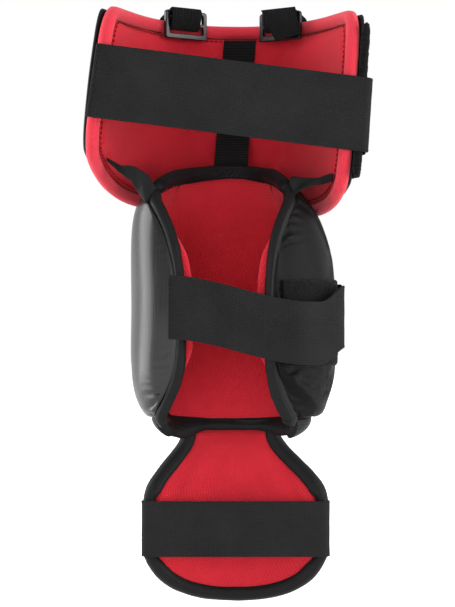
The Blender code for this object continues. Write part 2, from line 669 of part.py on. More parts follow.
def build():
    """Build every piece of the guard."""
    red = make_material("red_lining", (0.52, 0.03, 0.04), 0.8)
    roll = make_material("red_binding", (0.60, 0.05, 0.07), 0.75)
    foam = make_material("foam", (0.12, 0.12, 0.12), 0.9)
    plate = make_material("black_plate", (0.02, 0.02, 0.02), 0.5)
    nylon = make_material("black_nylon", (0.015, 0.015, 0.016), 0.8)
    vinyl = make_material("black_vinyl", (0.02, 0.02, 0.02), 0.35)
    binding = make_material("black_binding", (0.012, 0.012, 0.013), 0.75)
    elastic = make_material("grey_elastic", (0.035, 0.035, 0.036), 0.85)
    webbing = make_material("black_webbing", (0.012, 0.012, 0.012), 0.8)
    pile = make_material("loop_pile", (0.01, 0.01, 0.01), 0.95)
    plastic = make_material("buckle_plastic", (0.02, 0.02, 0.02), 0.3)

    knee = add_body("knee_section", Vector((0.0, 0.0, 0.0)))
    thigh = add_body("thigh_guard", THIGH_HINGE)

    # Thigh guard layers and rolled rim
    place = thigh_layer(0.0, THIGH_LINING, 0.0, THIGH_CROWN)
    add_slab("thigh_lining", 16, 8, place, red, thigh)
    place = thigh_layer(THIGH_LINING + SEAT, THIGH_PACK, 0.0)
    add_slab("thigh_foam", 16, 8, place, foam, thigh)
    place = thigh_layer(THIGH_PACK + PLATE_GAP, THIGH_OUT, THIGH_PLATE_MARGIN)
    add_slab("thigh_plate", 16, 8, place, plate, thigh)
    add_tube("thigh_rim", THIGH_RIM_LINE, THIGH_RIM, True, roll, thigh)

    # Thigh strap, its hook tab and the pile panel it grips
    def thigh_patch(p, q, side):
        height = LOOP_PANEL_HEIGHT + q * LOOP_PANEL_HALF
        return thigh_wall(0.83 + 0.2 * p, height, THIGH_OUT + SEAT + (LOOP_PILE if side else 0.0))
    add_slab("thigh_loop_panel", 6, 4, thigh_patch, pile, thigh)
    columns = 40
    place = strip_place(thigh_strap_line, columns, THIGH_STRAP_WIDTH, thigh_strap_height)
    add_slab("thigh_strap", columns, 2, place, elastic, thigh)
    hook_start = THIGH_OUT + SEAT + LOOP_PILE + SEAT
    tab_start = hook_start + HOOK_PILE + SEAT
    fold = thigh_wall(1.035, thigh_strap_height(THIGH_STRAP_REACH), tab_start + ELASTIC)
    thigh_tab = add_body("thigh_tab", fold)

    def thigh_tab_place(p, q, side):
        height = thigh_strap_height(THIGH_STRAP_REACH) + q * THIGH_STRAP_WIDTH / 2
        return thigh_wall(0.85 - 0.18 * p, height, tab_start + (ELASTIC if side else 0.0))
    add_slab("thigh_hook_tab", 8, 2, thigh_tab_place, elastic, thigh_tab)

    def thigh_hook_place(p, q, side):
        height = thigh_strap_height(THIGH_STRAP_REACH) + q * (THIGH_STRAP_WIDTH / 2 - 2.0 * MM)
        return thigh_wall(0.81 - 0.13 * p, height, hook_start + (HOOK_PILE if side else 0.0))
    add_slab("thigh_hook_patch", 6, 2, thigh_hook_place, pile, thigh_tab)

    # Elastic webbing that joins the thigh guard to the knee
    half = WEBBING_WIDTH / (2 * THIGH_ARC * THIGH_LEFT_HALF)
    lift = THIGH_CROWN * 1.02 + SEAT

    def centre_place(p, q, side):
        up = (q + 1.0) / 2
        height = CENTRE_WEBBING_LOW + up * (THIGH_TOP - 1.0 * MM - CENTRE_WEBBING_LOW)
        across = p * half + 0.045 * up - 0.012
        on = thigh_wall(across, height, -lift - (WEBBING if side else 0.0))
        low = min(height, KNEE_FRONT_TOP)
        angle = math.asin((on.x - KNEE_CENTRE) / knee_half(0.0, low))
        angle = math.asin((on.x - KNEE_CENTRE) / knee_half(angle, low))
        behind = knee_wall(angle, low, -3 * SEAT - (0.0 if side else WEBBING))
        free = Vector((on.x, behind.y, height))
        return on.lerp(free, smooth((CENTRE_WEBBING_LEAVES - height) / CENTRE_WEBBING_RUN))
    add_slab("centre_webbing", 2, 14, centre_place, webbing, thigh)

    # Slider buckles on their webbing tabs
    for side, p in (("left", LEFT_BUCKLE_P), ("right", RIGHT_BUCKLE_P)):
        frame = buckle_frame(p)
        swing = add_body(side + "_buckle_swing", frame.translation)
        add_buckle(side + "_buckle", frame, plastic, swing)
        add_garter(side + "_garter_tab", frame, p, webbing, thigh)

    # Knee front and collars
    swell = KNEE_FOAM - KNEE_PINCH
    foam_start = KNEE_CAP + SEAT
    foam_stop = foam_start + KNEE_PINCH
    add_slab("knee_cap", 10, 10, front_layer(0.0, KNEE_CAP, 0.0, 0.0), plate, knee)
    add_slab("knee_foam", 10, 10, front_layer(foam_start, foam_stop, 0.0, swell), foam, knee)
    lining_start = foam_stop + SEAT
    place = front_layer(lining_start, lining_start + KNEE_LINING, swell, swell)
    add_slab("knee_lining", 10, 10, place, red, knee)
    add_slab("left_collar", 6, 2, collar_place(-1), red, knee)
    add_slab("right_collar", 6, 2, collar_place(1), red, knee)

    # Top binding and bottom band
    add_tube("knee_top_binding", TOP_LINE, BINDING, False, binding, knee)
    add_tube("knee_bottom_band", BAND_LINE, BAND, False, binding, knee)

    # Wings
    wings = (("left", -1, LEFT_WING_FOAM, vinyl), ("right", 1, RIGHT_WING_FOAM, nylon))
    for side, sign, fill, cover in wings:
        wing = add_body(side + "_wing", wing_axis(sign))
        swell = fill - WING_EDGE_FOAM
        start = WING_SKIN + SEAT
        stop = start + WING_EDGE_FOAM
        add_slab(side + "_wing_cover", 10, 10, wing_layer(sign, 0.0, WING_SKIN, 0.0, 0.0, 0.0), cover, wing)
        add_slab(side + "_wing_foam", 10, 10, wing_layer(sign, start, stop, 0.0, swell, 0.0), foam, wing)
        place = wing_layer(sign, stop + 2 * SEAT, stop + 2 * SEAT + WING_LINING, swell, swell, WING_LINING_REACH)
        add_slab(side + "_wing_lining", 10, 10, place, red, wing)
        line = RIGHT_RIM_LINE if sign > 0 else LEFT_RIM_LINE
        add_tube(side + "_rim_binding", line, WING_BINDING, False, binding, wing)
        if sign > 0:
            place = wing_patch(1, 63.0, 140.0, LOOP_PATCH_LOW, LOOP_PATCH_HIGH, SEAT, SEAT + LOOP_PILE)
            add_slab("knee_loop_patch", 12, 6, place, pile, wing)

    # Knee strap and its hook tab
    columns = 34
    line = knee_strap_line()
    place = strip_place(lambda height: line, columns, KNEE_STRAP_WIDTH, knee_strap_height)
    add_slab("knee_strap", columns, 2, place, elastic, knee)
    hook_start = SEAT + LOOP_PILE + SEAT
    tab_start = hook_start + HOOK_PILE + SEAT
    fold = knee_wall(math.radians(97.6), KNEE_STRAP_END_HEIGHT, -tab_start - ELASTIC)
    knee_tab = add_body("knee_tab", fold)
    low = KNEE_STRAP_END_HEIGHT - KNEE_STRAP_WIDTH / 2
    high = KNEE_STRAP_END_HEIGHT + KNEE_STRAP_WIDTH / 2
    place = wing_patch(1, 97.0, 66.0, low, high, tab_start, tab_start + ELASTIC)
    add_slab("knee_hook_tab", 6, 4, place, elastic, knee_tab)
    place = wing_patch(1, 92.0, 67.0, low + 2.0 * MM, high - 2.0 * MM, hook_start, hook_start + HOOK_PILE)
    add_slab("knee_hook_patch", 6, 4, place, pile, knee_tab)

    # Tie tapes between the thigh guard and the knee
    left_path = [thigh_wall(-0.985, LEFT_TAPE_TOP, -THIGH_CROWN - 2 * SEAT), *LEFT_TAPE_BENDS]
    left_path += [knee_wall(-COLLAR_ANGLE * 0.96, LEFT_TAPE_LOW, -1.9 * WEBBING)]
    up = Vector((0.0, 0.0, 1.0))
    turns = [up, Vector((0.0, -0.5, 1.0)), Vector((0.2, -0.5, 1.0)), up]
    add_slab("left_tie_tape", 9, 2, ribbon_place(left_path, LEFT_TAPE_WIDTHS, turns), webbing, knee)
    right_path = [thigh_wall(0.985, RIGHT_TAPE_TOP, -THIGH_CROWN - 2 * SEAT), *RIGHT_TAPE_BENDS]
    right_path += [knee_wall(COLLAR_ANGLE * 0.96, RIGHT_TAPE_LOW, -2.9 * WEBBING)]
    turns = [up, Vector((0.0, -0.3, 1.0)), Vector((-0.2, -0.3, 1.0)), up]
    add_slab("right_tie_tape", 9, 2, ribbon_place(right_path, RIGHT_TAPE_WIDTHS, turns), webbing, knee)

    # Shin flap
    flap = add_body("shin_flap", FLAP_HINGE)
    foam_start = FLAP_LINING + SEAT
    back_start = foam_start + FLAP_FOAM + SEAT
    add_slab("flap_lining", 12, 10, flap_layer(0.0, FLAP_LINING, FLAP_CROWN), red, flap)
    add_slab("flap_foam", 12, 10, flap_layer(foam_start, foam_start + FLAP_FOAM), foam, flap)
    add_slab("flap_backing", 12, 10, flap_layer(back_start, FLAP_PACK), nylon, flap)
    add_tube("flap_binding", FLAP_RIM_LINE, FLAP_BINDING, False, binding, flap)
    columns = 44
    line = flap_strap_line()
    place = strip_place(lambda height: line, columns, FLAP_STRAP_WIDTH, lambda x: FLAP_STRAP_HEIGHT)
    add_slab("flap_strap", columns, 1, place, elastic, flap)


def buckle_frame(p):
    """Frame of a buckle on the top rim, with its origin on the bar."""
    top = thigh_high(p)
    rim = thigh_wall(p, top, THIGH_PACK / 2)
    slope = thigh_skin(p + 0.01, top) - thigh_skin(p - 0.01, top)
    across = Vector((slope.x, slope.y, 0.0)).normalized()
    out = Vector((-across.y, across.x, 0.0))
    stand = THIGH_RIM + BUCKLE_STAND + BUCKLE_PLATE
    centre = rim - out * stand + Vector((0.0, 0.0, BUCKLE_RISE + THIGH_RIM))
    frame = Matrix((across, out, (0.0, 0.0, 1.0))).transposed().to_4x4()
    frame.translation = centre
    return frame


def wing_axis(sign):
    """Upright axis of a wing, on the outer skin at its seam."""
    seam = knee_skin(sign * KNEE_SEAM, KNEE_MIDDLE)
    return Vector((seam.x, seam.y, 0.0))


for old in list(bpy.data.objects):
    bpy.data.objects.remove(old, do_unlink=True)
GUARD = bpy.data.collections.new("goalie_knee_guard")
bpy.context.scene.collection.children.link(GUARD)

THIGH_EDGE = edge_line(lambda p, q: thigh_spot(p, q, 0.0), (24, 14, 24, 14))
THIGH_RIM_LINE = offset_edge(THIGH_EDGE, thigh_skin, -THIGH_PACK / 2, THIGH_RIM + SEAT, True)
WING_STEPS = [k / 20 for k in range(21)]
LEFT_EDGE = [wing_spot(-1, 1.0, 1.0 - 2.0 * s, 0.0) for s in WING_STEPS]
RIGHT_EDGE = [wing_spot(1, 1.0, 2.0 * s - 1.0, 0.0) for s in WING_STEPS]
LEFT_RIM_LINE = offset_edge(LEFT_EDGE, knee_skin, WING_RIM_DEPTH, WING_BINDING + SEAT, False)
RIGHT_RIM_LINE = offset_edge(RIGHT_EDGE, knee_skin, WING_RIM_DEPTH, WING_BINDING + SEAT, False)
TOP_EDGE = []
for k in range(33):
    turn = COLLAR_ANGLE * (1.0 - k / 16)
    TOP_EDGE.append((turn, collar_top(turn)))
TOP_LINE = offset_edge(TOP_EDGE, knee_skin, COLLAR_PAD / 2, BINDING + 2 * SEAT, False)
BAND_EDGE = [(math.radians(-115.0 + 247.0 * k / 32), KNEE_FRONT_LOW) for k in range(33)]
BAND_LINE = offset_edge(BAND_EDGE, knee_skin, COLLAR_PAD / 2, BAND + 2 * SEAT, False)
FLAP_EDGE = [flap_spot(-1.0, 1.0 - k / 7) for k in range(14)]
FLAP_EDGE += [flap_spot(k / 10 - 1.0, -1.0) for k in range(20)]
FLAP_EDGE += [flap_spot(1.0, k / 7 - 1.0) for k in range(15)]
FLAP_RIM_LINE = offset_edge(FLAP_EDGE, flap_skin, -FLAP_PACK / 2, FLAP_BINDING + 2.4 * SEAT, False)
build()
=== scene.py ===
"""Looks of an ice hockey goalie knee guard: its linings, covers, webbing, thread and studio.

Metres, +Z up the leg. The leg side faces -Y, towards the camera, and the protective front faces +Y.
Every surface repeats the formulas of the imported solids, so each piece lies where its solid is.
"""

from __future__ import annotations

import logging
import math
from collections.abc import Callable, Sequence
from dataclasses import dataclass, field
from enum import Enum

import bmesh
import bpy
from mathutils import Matrix, Vector, noise

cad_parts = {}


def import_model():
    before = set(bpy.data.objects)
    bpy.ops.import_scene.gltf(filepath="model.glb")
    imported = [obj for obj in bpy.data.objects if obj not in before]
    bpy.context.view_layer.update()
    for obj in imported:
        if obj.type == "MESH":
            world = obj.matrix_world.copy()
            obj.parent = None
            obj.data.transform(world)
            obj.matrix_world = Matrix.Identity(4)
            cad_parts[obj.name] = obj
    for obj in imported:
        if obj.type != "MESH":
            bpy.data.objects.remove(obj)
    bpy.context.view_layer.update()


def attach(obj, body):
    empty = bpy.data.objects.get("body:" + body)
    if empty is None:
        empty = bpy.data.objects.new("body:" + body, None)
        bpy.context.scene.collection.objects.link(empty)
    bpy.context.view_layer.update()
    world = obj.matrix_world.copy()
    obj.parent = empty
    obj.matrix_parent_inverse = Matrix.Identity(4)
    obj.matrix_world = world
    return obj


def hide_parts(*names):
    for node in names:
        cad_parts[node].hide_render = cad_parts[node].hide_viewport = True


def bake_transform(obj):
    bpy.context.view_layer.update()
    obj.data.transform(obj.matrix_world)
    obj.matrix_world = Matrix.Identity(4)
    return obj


LOG = logging.getLogger("goalie_knee_guard")
MM = 0.001
# Clearance between two pieces that lie on each other.
SEAT = 0.3 * MM

# Gives a point of a pad at p and q from -1 to 1, on its face 1, on its face -1, or on its border, 0.
Place = Callable[[float, float, int], Vector]
# Two coordinates on a face, on a cloth or across a section, and three in space.
Spot = tuple[float, float]
Triple = tuple[float, float, float]
Piece, Socket, Tree = bpy.types.Object, bpy.types.NodeSocket, bpy.types.NodeTree


class Side(Enum):
    """A side of the guard as the camera sees it, with the sign of its x."""

    LEFT = -1
    RIGHT = 1

    @property
    def word(self) -> str:
        """Word for the side in the names of pieces, solids and bodies."""
        return self.name.lower()


def ease(x: float) -> float:
    """Ease from 0 to 1."""
    x = min(max(x, 0.0), 1.0)
    return x * x * (3.0 - 2.0 * x)


def bump(x: float, middle: float, width: float) -> float:
    """Bell curve of height 1."""
    return math.exp(-(((x - middle) / width) ** 2))


def fullness(t: float, power: float) -> float:
    """Round shoulder of a pad: 1 in the middle and 0 at t = -1 and t = 1."""
    return math.sqrt(max(0.0, 1.0 - abs(t) ** power))


def ripple(point: Vector, size_mm: float, seed: float = 0.0) -> float:
    """Smooth noise between about -1 and 1, with waves of a size in millimetres."""
    return noise.noise(point / (size_mm * MM) + Vector((seed, 2.3 * seed, 4.1 * seed)))


def uneven(point: Vector, drift: Triple, share: float, size_mm: float, seed: float) -> float:
    """Factor near 1 that makes a roll uneven, with a drift of the noise round the section."""
    return 1.0 + share * ripple(point + Vector(drift), size_mm, seed)


# Finishes


def linear(hex_colour: str) -> tuple[float, float, float, float]:
    """Turn an sRGB hex colour, six digits after a hash, into linear RGBA."""
    parts = [int(hex_colour[k:k + 2], 16) / 255.0 for k in (1, 3, 5)]
    red, green, blue = (c / 12.92 if c <= 0.04045 else ((c + 0.055) / 1.055) ** 2.4 for c in parts)
    return red, green, blue, 1.0


def add_node(
    tree: Tree,
    kind: str,
    settings: dict[str, object] | None = None,
    inputs: dict[str | int, object] | None = None,
) -> bpy.types.Node:
    """Add a node with its settings and links.

    Args:
        tree: the node tree to add to.
        kind: Blender's type name of the node.
        settings: properties of the node.
        inputs: a value or an output socket for each input, by name or index.

    Returns:
        The new node.
    """
    made = tree.nodes.new(kind)
    for key, value in (settings or {}).items():
        setattr(made, key, value)
    for key, value in (inputs or {}).items():
        if isinstance(value, Socket):
            tree.links.new(value, made.inputs[key])
        else:
            made.inputs[key].default_value = value
    return made


def per_metre(size_mm: float) -> float:
    """Texture scale that gives one feature in a size in millimetres."""
    return 1.0 / (size_mm * MM)


def band_scale(size_mm: float) -> float:
    """Wave texture scale that gives one band in a size in millimetres, since a band takes pi / 10 units."""
    return math.pi / 10.0 / (size_mm * MM)


class Weave(Enum):
    """How the threads of a cloth lie: the turn of the warp bands and of the weft bands, in degrees."""

    PLAIN = (0.0, 90.0)
    TWILL = (45.0, -20.0)
    KNIT = (38.0, -38.0)
    RIB = (90.0, 90.0)


@dataclass(frozen=True)
class Finish:
    """A finish: a shader with one colour and gloss, and the relief that its making leaves."""

    name: str
    colour: str
    shade: str
    roughness: float
    relief_mm: float

    def make(self) -> bpy.types.Material:
        """Build the material with the nodes of its finish, dull in its hollows and rubbed on its crests."""
        material = bpy.data.materials.new(self.name)
        material.use_nodes = True
        tree = material.node_tree
        shader = tree.nodes["Principled BSDF"]
        height = self.dress(tree, shader)
        hollows, crests = min(self.roughness + 0.08, 1.0), self.roughness - 0.06
        settle = {"Value": height, "From Min": 0.0, "From Max": 1.0, "To Min": hollows, "To Max": crests}
        gloss = add_node(tree, "ShaderNodeMapRange", None, settle)
        tree.links.new(gloss.outputs["Result"], shader.inputs["Roughness"])
        relief = {"Height": height, "Distance": self.relief_mm * MM, "Strength": 1.0}
        raised = add_node(tree, "ShaderNodeBump", None, relief)
        tree.links.new(raised.outputs["Normal"], shader.inputs["Normal"])
        return material

    def dress(self, tree: Tree, shader: bpy.types.Node) -> Socket:
        """Add the nodes of the finish and give back the height of its relief, from 0 to 1."""
        raise NotImplementedError

    def tint(self, tree: Tree, shader: bpy.types.Node, amount: Socket) -> None:
        """Colour the shader from the shade to the colour by an amount."""
        settings = {"data_type": "RGBA"}
        inputs = {0: amount, 6: linear(self.shade), 7: linear(self.colour)}
        mixed = add_node(tree, "ShaderNodeMix", settings, inputs)
        tree.links.new(mixed.outputs[2], shader.inputs["Base Color"])


@dataclass(frozen=True)
class ClothFinish(Finish):
    """Cloth: bands of warp and weft in the cloth's own coordinates, with painted shade in their hollows and
    cloudy dye.
    """

    weave: Weave
    warp_mm: float
    weft_mm: float
    cloud_mm: float = 18.0
    sheen: float = 0.0
    shine: float = 0.15

    def dress(self, tree: Tree, shader: bpy.types.Node) -> Socket:
        """Add crossed bands of thread, darker in their hollows as painted shade, and cloudy dye."""
        shader.inputs["Sheen Weight"].default_value = self.sheen
        shader.inputs["Sheen Roughness"].default_value = 0.5
        shader.inputs["Specular IOR Level"].default_value = self.shine
        cloth = add_node(tree, "ShaderNodeUVMap", {"uv_map": "cloth"}).outputs["UV"]
        bands = []
        for size, turn in zip((self.warp_mm, self.weft_mm), self.weave.value):
            spin = {"Vector": cloth, "Rotation": (0.0, 0.0, math.radians(turn))}
            turned = add_node(tree, "ShaderNodeMapping", None, spin)
            wave = {"Vector": turned.outputs["Vector"], "Scale": band_scale(size), "Distortion": 0.6}
            wave |= {"Detail": 1.0, "Detail Scale": 1.4}
            bands.append(add_node(tree, "ShaderNodeTexWave", None, wave).outputs["Fac"])
        both = add_node(tree, "ShaderNodeMath", {"operation": "MULTIPLY"}, {0: bands[0], 1: bands[1]})
        height = both.outputs[0]
        place = add_node(tree, "ShaderNodeTexCoord").outputs["Object"]
        dye = {"Vector": place, "Scale": per_metre(self.cloud_mm), "Detail": 4.0, "Roughness": 0.65}
        cloud = add_node(tree, "ShaderNodeTexNoise", None, dye).outputs["Fac"]
        # The colour runs from the shade in the weave's hollows to the colour on its crests, a painted shade
        # of the weave; the noise clouds it as uneven dye.
        settings = {"operation": "MULTIPLY_ADD", "use_clamp": True}
        amount = add_node(tree, "ShaderNodeMath", settings, {0: height, 1: 0.7, 2: cloud})
        self.tint(tree, shader, amount.outputs[0])
        return height


@dataclass(frozen=True)
class PileFinish(Finish):
    """Loop pile: a felt of fine curled threads."""

    loop_mm: float

    def dress(self, tree: Tree, shader: bpy.types.Node) -> Socket:
        """Add a deep tangle of loops."""
        shader.inputs["Sheen Weight"].default_value = 0.06
        shader.inputs["Specular IOR Level"].default_value = 0.08
        place = add_node(tree, "ShaderNodeTexCoord").outputs["Object"]
        tangle = {"Vector": place, "Scale": per_metre(self.loop_mm), "Detail": 5.0, "Distortion": 1.2}
        height = add_node(tree, "ShaderNodeTexNoise", None, tangle).outputs["Fac"]
        self.tint(tree, shader, height)
        return height


@dataclass(frozen=True)
class HideFinish(Finish):
    """Coated cloth or moulded plastic: small cells of grain under a thin gloss coat."""

    grain_mm: float
    coat: float
    shine: float = 0.5
    draw: float = 1.0

    def dress(self, tree: Tree, shader: bpy.types.Node) -> Socket:
        """Add grain cells, drawn out along the height, and clouded by wear."""
        shader.inputs["Coat Weight"].default_value = self.coat
        shader.inputs["Coat Roughness"].default_value = 0.3
        shader.inputs["IOR"].default_value = 1.5
        shader.inputs["Specular IOR Level"].default_value = self.shine
        place = add_node(tree, "ShaderNodeTexCoord").outputs["Object"]
        pull = {"Vector": place, "Scale": (1.0, 1.0, self.draw)}
        drawn = add_node(tree, "ShaderNodeMapping", None, pull).outputs["Vector"]
        cells = {"Vector": drawn, "Scale": per_metre(self.grain_mm)}
        grain = add_node(tree, "ShaderNodeTexVoronoi", {"feature": "F1"}, cells).outputs["Distance"]
        rub = {"Vector": drawn, "Scale": per_metre(9.0 * self.grain_mm), "Detail": 5.0}
        worn = add_node(tree, "ShaderNodeTexNoise", None, rub).outputs["Fac"]
        self.tint(tree, shader, worn)
        settings = {"operation": "MULTIPLY_ADD", "use_clamp": True}
        return add_node(tree, "ShaderNodeMath", settings, {0: grain, 1: 0.5, 2: worn}).outputs[0]


@dataclass
class Finishes:
    """Every material of the guard, each made once."""

    made: dict[str, bpy.types.Material] = field(default_factory=dict)

    def __post_init__(self) -> None:
        """Make the materials. Weaves finer than two pixels of the photograph are drawn about that coarse."""
        # Two colours, roughness and relief, then the sizes of the weave, the loops or the grain and coat.
        kinds: tuple[Finish, ...] = (
            # Warp-knit polyester, brushed on its face: a soft even red with fine crossed wales.
            ClothFinish(
                "knit_polyester_lining", "#D22736", "#BC1D2A", 0.85, 0.2, Weave.KNIT, 1.5, 1.5,
                cloud_mm=22.0, sheen=0.1,
            ),
            # Knit polyester turned over a foam roll: the lining's knit painted lighter, a painted highlight
            # on the rolled rim.
            ClothFinish(
                "knit_polyester_roll", "#E23A4B", "#D22E3E", 0.8, 0.2, Weave.KNIT, 1.4, 1.4,
                cloud_mm=26.0, sheen=0.2,
            ),
            # Polyester twill, woven: slanting ribs, a little deeper in colour than the knit.
            ClothFinish(
                "twill_polyester_lining", "#D62B39", "#B81C28", 0.85, 0.25, Weave.TWILL, 1.4, 2.0,
                cloud_mm=24.0, sheen=0.1,
            ),
            # Covered rubber elastic, woven: charcoal cords along the strap crossed by fine weft.
            ClothFinish(
                "woven_elastic", "#2E2E2F", "#191919", 0.85, 0.25, Weave.PLAIN, 1.4, 1.5,
                cloud_mm=40.0, sheen=0.01, shine=0.04,
            ),
            # Nylon webbing, woven with a heavy weft: black ribs straight across its width.
            ClothFinish(
                "nylon_webbing", "#1F1F20", "#0A0A0A", 0.8, 0.4, Weave.RIB, 2.0, 2.0,
                cloud_mm=12.0, sheen=0.01, shine=0.06,
            ),
            # Nylon binding tape, woven and folded: black with a satin edge.
            ClothFinish(
                "nylon_binding_tape", "#1B1C1D", "#0F0F10", 0.42, 0.15, Weave.PLAIN, 1.4, 1.4,
                cloud_mm=16.0, sheen=0.01, shine=0.11,
            ),
            # Nylon pack cloth, plain woven: black with a faint satin gloss on its folds.
            ClothFinish(
                "nylon_pack_cloth", "#181819", "#0F0F10", 0.36, 0.1, Weave.PLAIN, 1.3, 1.3,
                cloud_mm=30.0, sheen=0.0, shine=0.05,
            ),
            # Nylon and polyester thread, twisted: small bright twists on black and on red.
            ClothFinish("nylon_thread_black", "#1C1C1D", "#070707", 0.6, 0.1, Weave.TWILL, 0.9, 0.9),
            ClothFinish("polyester_thread_red", "#7E0F19", "#5A0810", 0.7, 0.1, Weave.TWILL, 0.9, 0.9),
            # Nylon loop pile, brushed: a dead black tangle that catches no highlight.
            PileFinish("brushed_loop_pile", "#1C1C1C", "#060606", 0.95, 1.0, 1.6),
            # Moulded hooks of the same tape: stiff bristle, a little greyer.
            PileFinish("moulded_hook_tape", "#2A2A2B", "#0E0E0E", 0.8, 0.7, 1.2),
            # Polyvinyl chloride coated cloth, embossed: a soft black gloss with a fine drawn grain.
            HideFinish("coated_vinyl", "#161618", "#0E0E10", 0.32, 0.05, 1.4, 0.0, shine=0.42, draw=0.07),
            # Polyethylene sheet under nylon, pressed: flat black with a faint grain.
            HideFinish("pressed_polyethylene", "#19191A", "#111112", 0.5, 0.06, 1.1, 0.0, shine=0.14),
            # Acetal, injection moulded: satin black, clouded by wear.
            HideFinish("moulded_acetal", "#161617", "#0D0D0E", 0.28, 0.03, 0.8, 0.05, shine=0.4),
        )
        for kind in kinds:
            self.made[kind.name] = kind.make()

    def __getitem__(self, name: str) -> bpy.types.Material:
        """Give the material of a name."""
        return self.made[name]


# Meshes


def add_object(name: str, data: bpy.types.ID) -> Piece:
    """Add an object with its data to the scene."""
    made = bpy.data.objects.new(name, data)
    bpy.context.scene.collection.objects.link(made)
    return made


@dataclass
class Frame:
    """A point on a line, with the two axes of the section drawn there."""

    point: Vector
    out: Vector
    normal: Vector


def make_piece(
    name: str,
    points: Sequence[Vector],
    faces: Sequence[Sequence[int]],
    cloth: Sequence[Spot],
    material: bpy.types.Material,
) -> Piece:
    """Make a smooth mesh piece with cloth coordinates.

    Args:
        name: the piece's name.
        points: its vertices.
        faces: vertex indices of each face.
        cloth: cloth coordinates in metres, one for each corner of each face in order.
        material: its finish.

    Returns:
        The new object, in the scene.
    """
    mesh = bpy.data.meshes.new(name)
    mesh.from_pydata([tuple(point) for point in points], [], [tuple(face) for face in faces])
    layer = mesh.uv_layers.new(name="cloth")
    layer.uv.foreach_set("vector", [value for spot in cloth for value in spot])
    work = bmesh.new()
    work.from_mesh(mesh)
    bmesh.ops.recalc_face_normals(work, faces=work.faces[:])
    work.to_mesh(mesh)
    work.free()
    mesh.materials.append(material)
    mesh.polygons.foreach_set("use_smooth", [True] * len(mesh.polygons))
    return add_object(name, mesh)


def knots(count: int, bunched: bool) -> list[float]:
    """Steps from -1 to 1, bunched towards both ends where a pad's shoulders turn."""
    steps = [2.0 * k / count - 1.0 for k in range(count + 1)]
    return [t * (1.5 - 0.5 * t * t) for t in steps] if bunched else steps


def pillow(
    name: str,
    counts: tuple[int, int],
    place: Place,
    size: Spot,
    material: bpy.types.Material,
    open_ends: tuple[bool, bool] = (False, False),
    bunched: tuple[bool, bool] = (True, True),
    backing: bpy.types.Material | None = None,
) -> Piece:
    """Make a closed pad of two faces that meet on its border.

    Args:
        name: the piece's name.
        counts: columns and rows of the grid.
        place: gives the point at p and q from -1 to 1, on face 1, on face -1, or on the border, 0.
        size: width and height of the cloth in metres.
        material: its finish.
        open_ends: whether the first and the last column are left open, where another piece goes on.
        bunched: whether the columns and the rows bunch towards the border.
        backing: finish of the first half of its back, where that is another cloth.

    Returns:
        The new piece.
    """
    columns, rows = counts
    along, up = knots(columns, bunched[0]), knots(rows, bunched[1])
    points: list[Vector] = []
    sewn: list[int] = []
    sides: dict[int, dict[tuple[int, int], int]] = {1: {}, -1: {}}
    for i, p in enumerate(along):
        for j, q in enumerate(up):
            ended = (i == 0 and not open_ends[0]) or (i == columns and not open_ends[1])
            if ended or j in (0, rows):
                sides[1][i, j] = sides[-1][i, j] = len(points)
                sewn.append(len(points))
                points.append(place(p, q, 0))
                continue
            for side, kept in sides.items():
                kept[i, j] = len(points)
                if side < 0 or i in (0, columns):
                    sewn.append(len(points))
                points.append(place(p, q, side))
    faces: list[list[int]] = []
    cloth: list[Spot] = []
    for i in range(columns):
        for j in range(rows):
            ring = [(i, j), (i + 1, j), (i + 1, j + 1), (i, j + 1)]
            for corners, kept in ((ring, sides[1]), (ring[::-1], sides[-1])):
                faces.append([kept[corner] for corner in corners])
                cloth += [((along[a] + 1) / 2 * size[0], (up[b] + 1) / 2 * size[1]) for a, b in corners]
    piece = make_piece(name, points, faces, cloth, material)
    piece.vertex_groups.new(name="sewn").add(sewn, 1.0, "ADD")
    if backing:
        piece.data.materials.append(backing)
        backed = columns // 2 * rows
        marks = [0, 1] * backed + [0, 0] * (columns * rows - backed)
        piece.data.polygons.foreach_set("material_index", marks)
    return piece


def fill_out(piece: Piece, growth: float = 0.0, cap: float = 0.8 * MM) -> None:
    """Fill a pad by cloth simulation: its free face swells and gathers, and its sewn points stay.

    Args:
        piece: the pad, with its border and back in the group of sewn points.
        growth: share by which the cloth is cut larger than its place.
        cap: the most that a point may move.
    """
    scene, last_frame, pressure = bpy.context.scene, 20, 4.0
    fill = piece.modifiers.new("fill", "CLOTH")
    cloth = fill.settings
    cloth.quality, cloth.mass = 5, 0.15
    cloth.tension_stiffness = cloth.compression_stiffness = 12.0
    cloth.shear_stiffness, cloth.bending_stiffness = 4.0, 0.2
    cloth.use_pressure, cloth.uniform_pressure_force = True, pressure
    cloth.shrink_min = -growth
    cloth.vertex_group_mass = "sewn"
    cloth.effector_weights.gravity = 0.0
    fill.point_cache.frame_start, fill.point_cache.frame_end = 1, last_frame
    for step in range(1, last_frame + 1):
        scene.frame_set(step)
    shaped = piece.evaluated_get(bpy.context.evaluated_depsgraph_get())
    moved = [vert.co.copy() for vert in shaped.data.vertices]
    piece.modifiers.remove(fill)
    far = 0.0
    for vert, spot in zip(piece.data.vertices, moved):
        shift = spot - vert.co
        far = max(far, shift.length)
        vert.co += shift * min(1.0, cap / max(shift.length, 1e-9))
    piece.data.update()
    scene.frame_set(1)
    LOG.info("%s filled by simulation: moved up to %.1f mm", piece.name, far / MM)


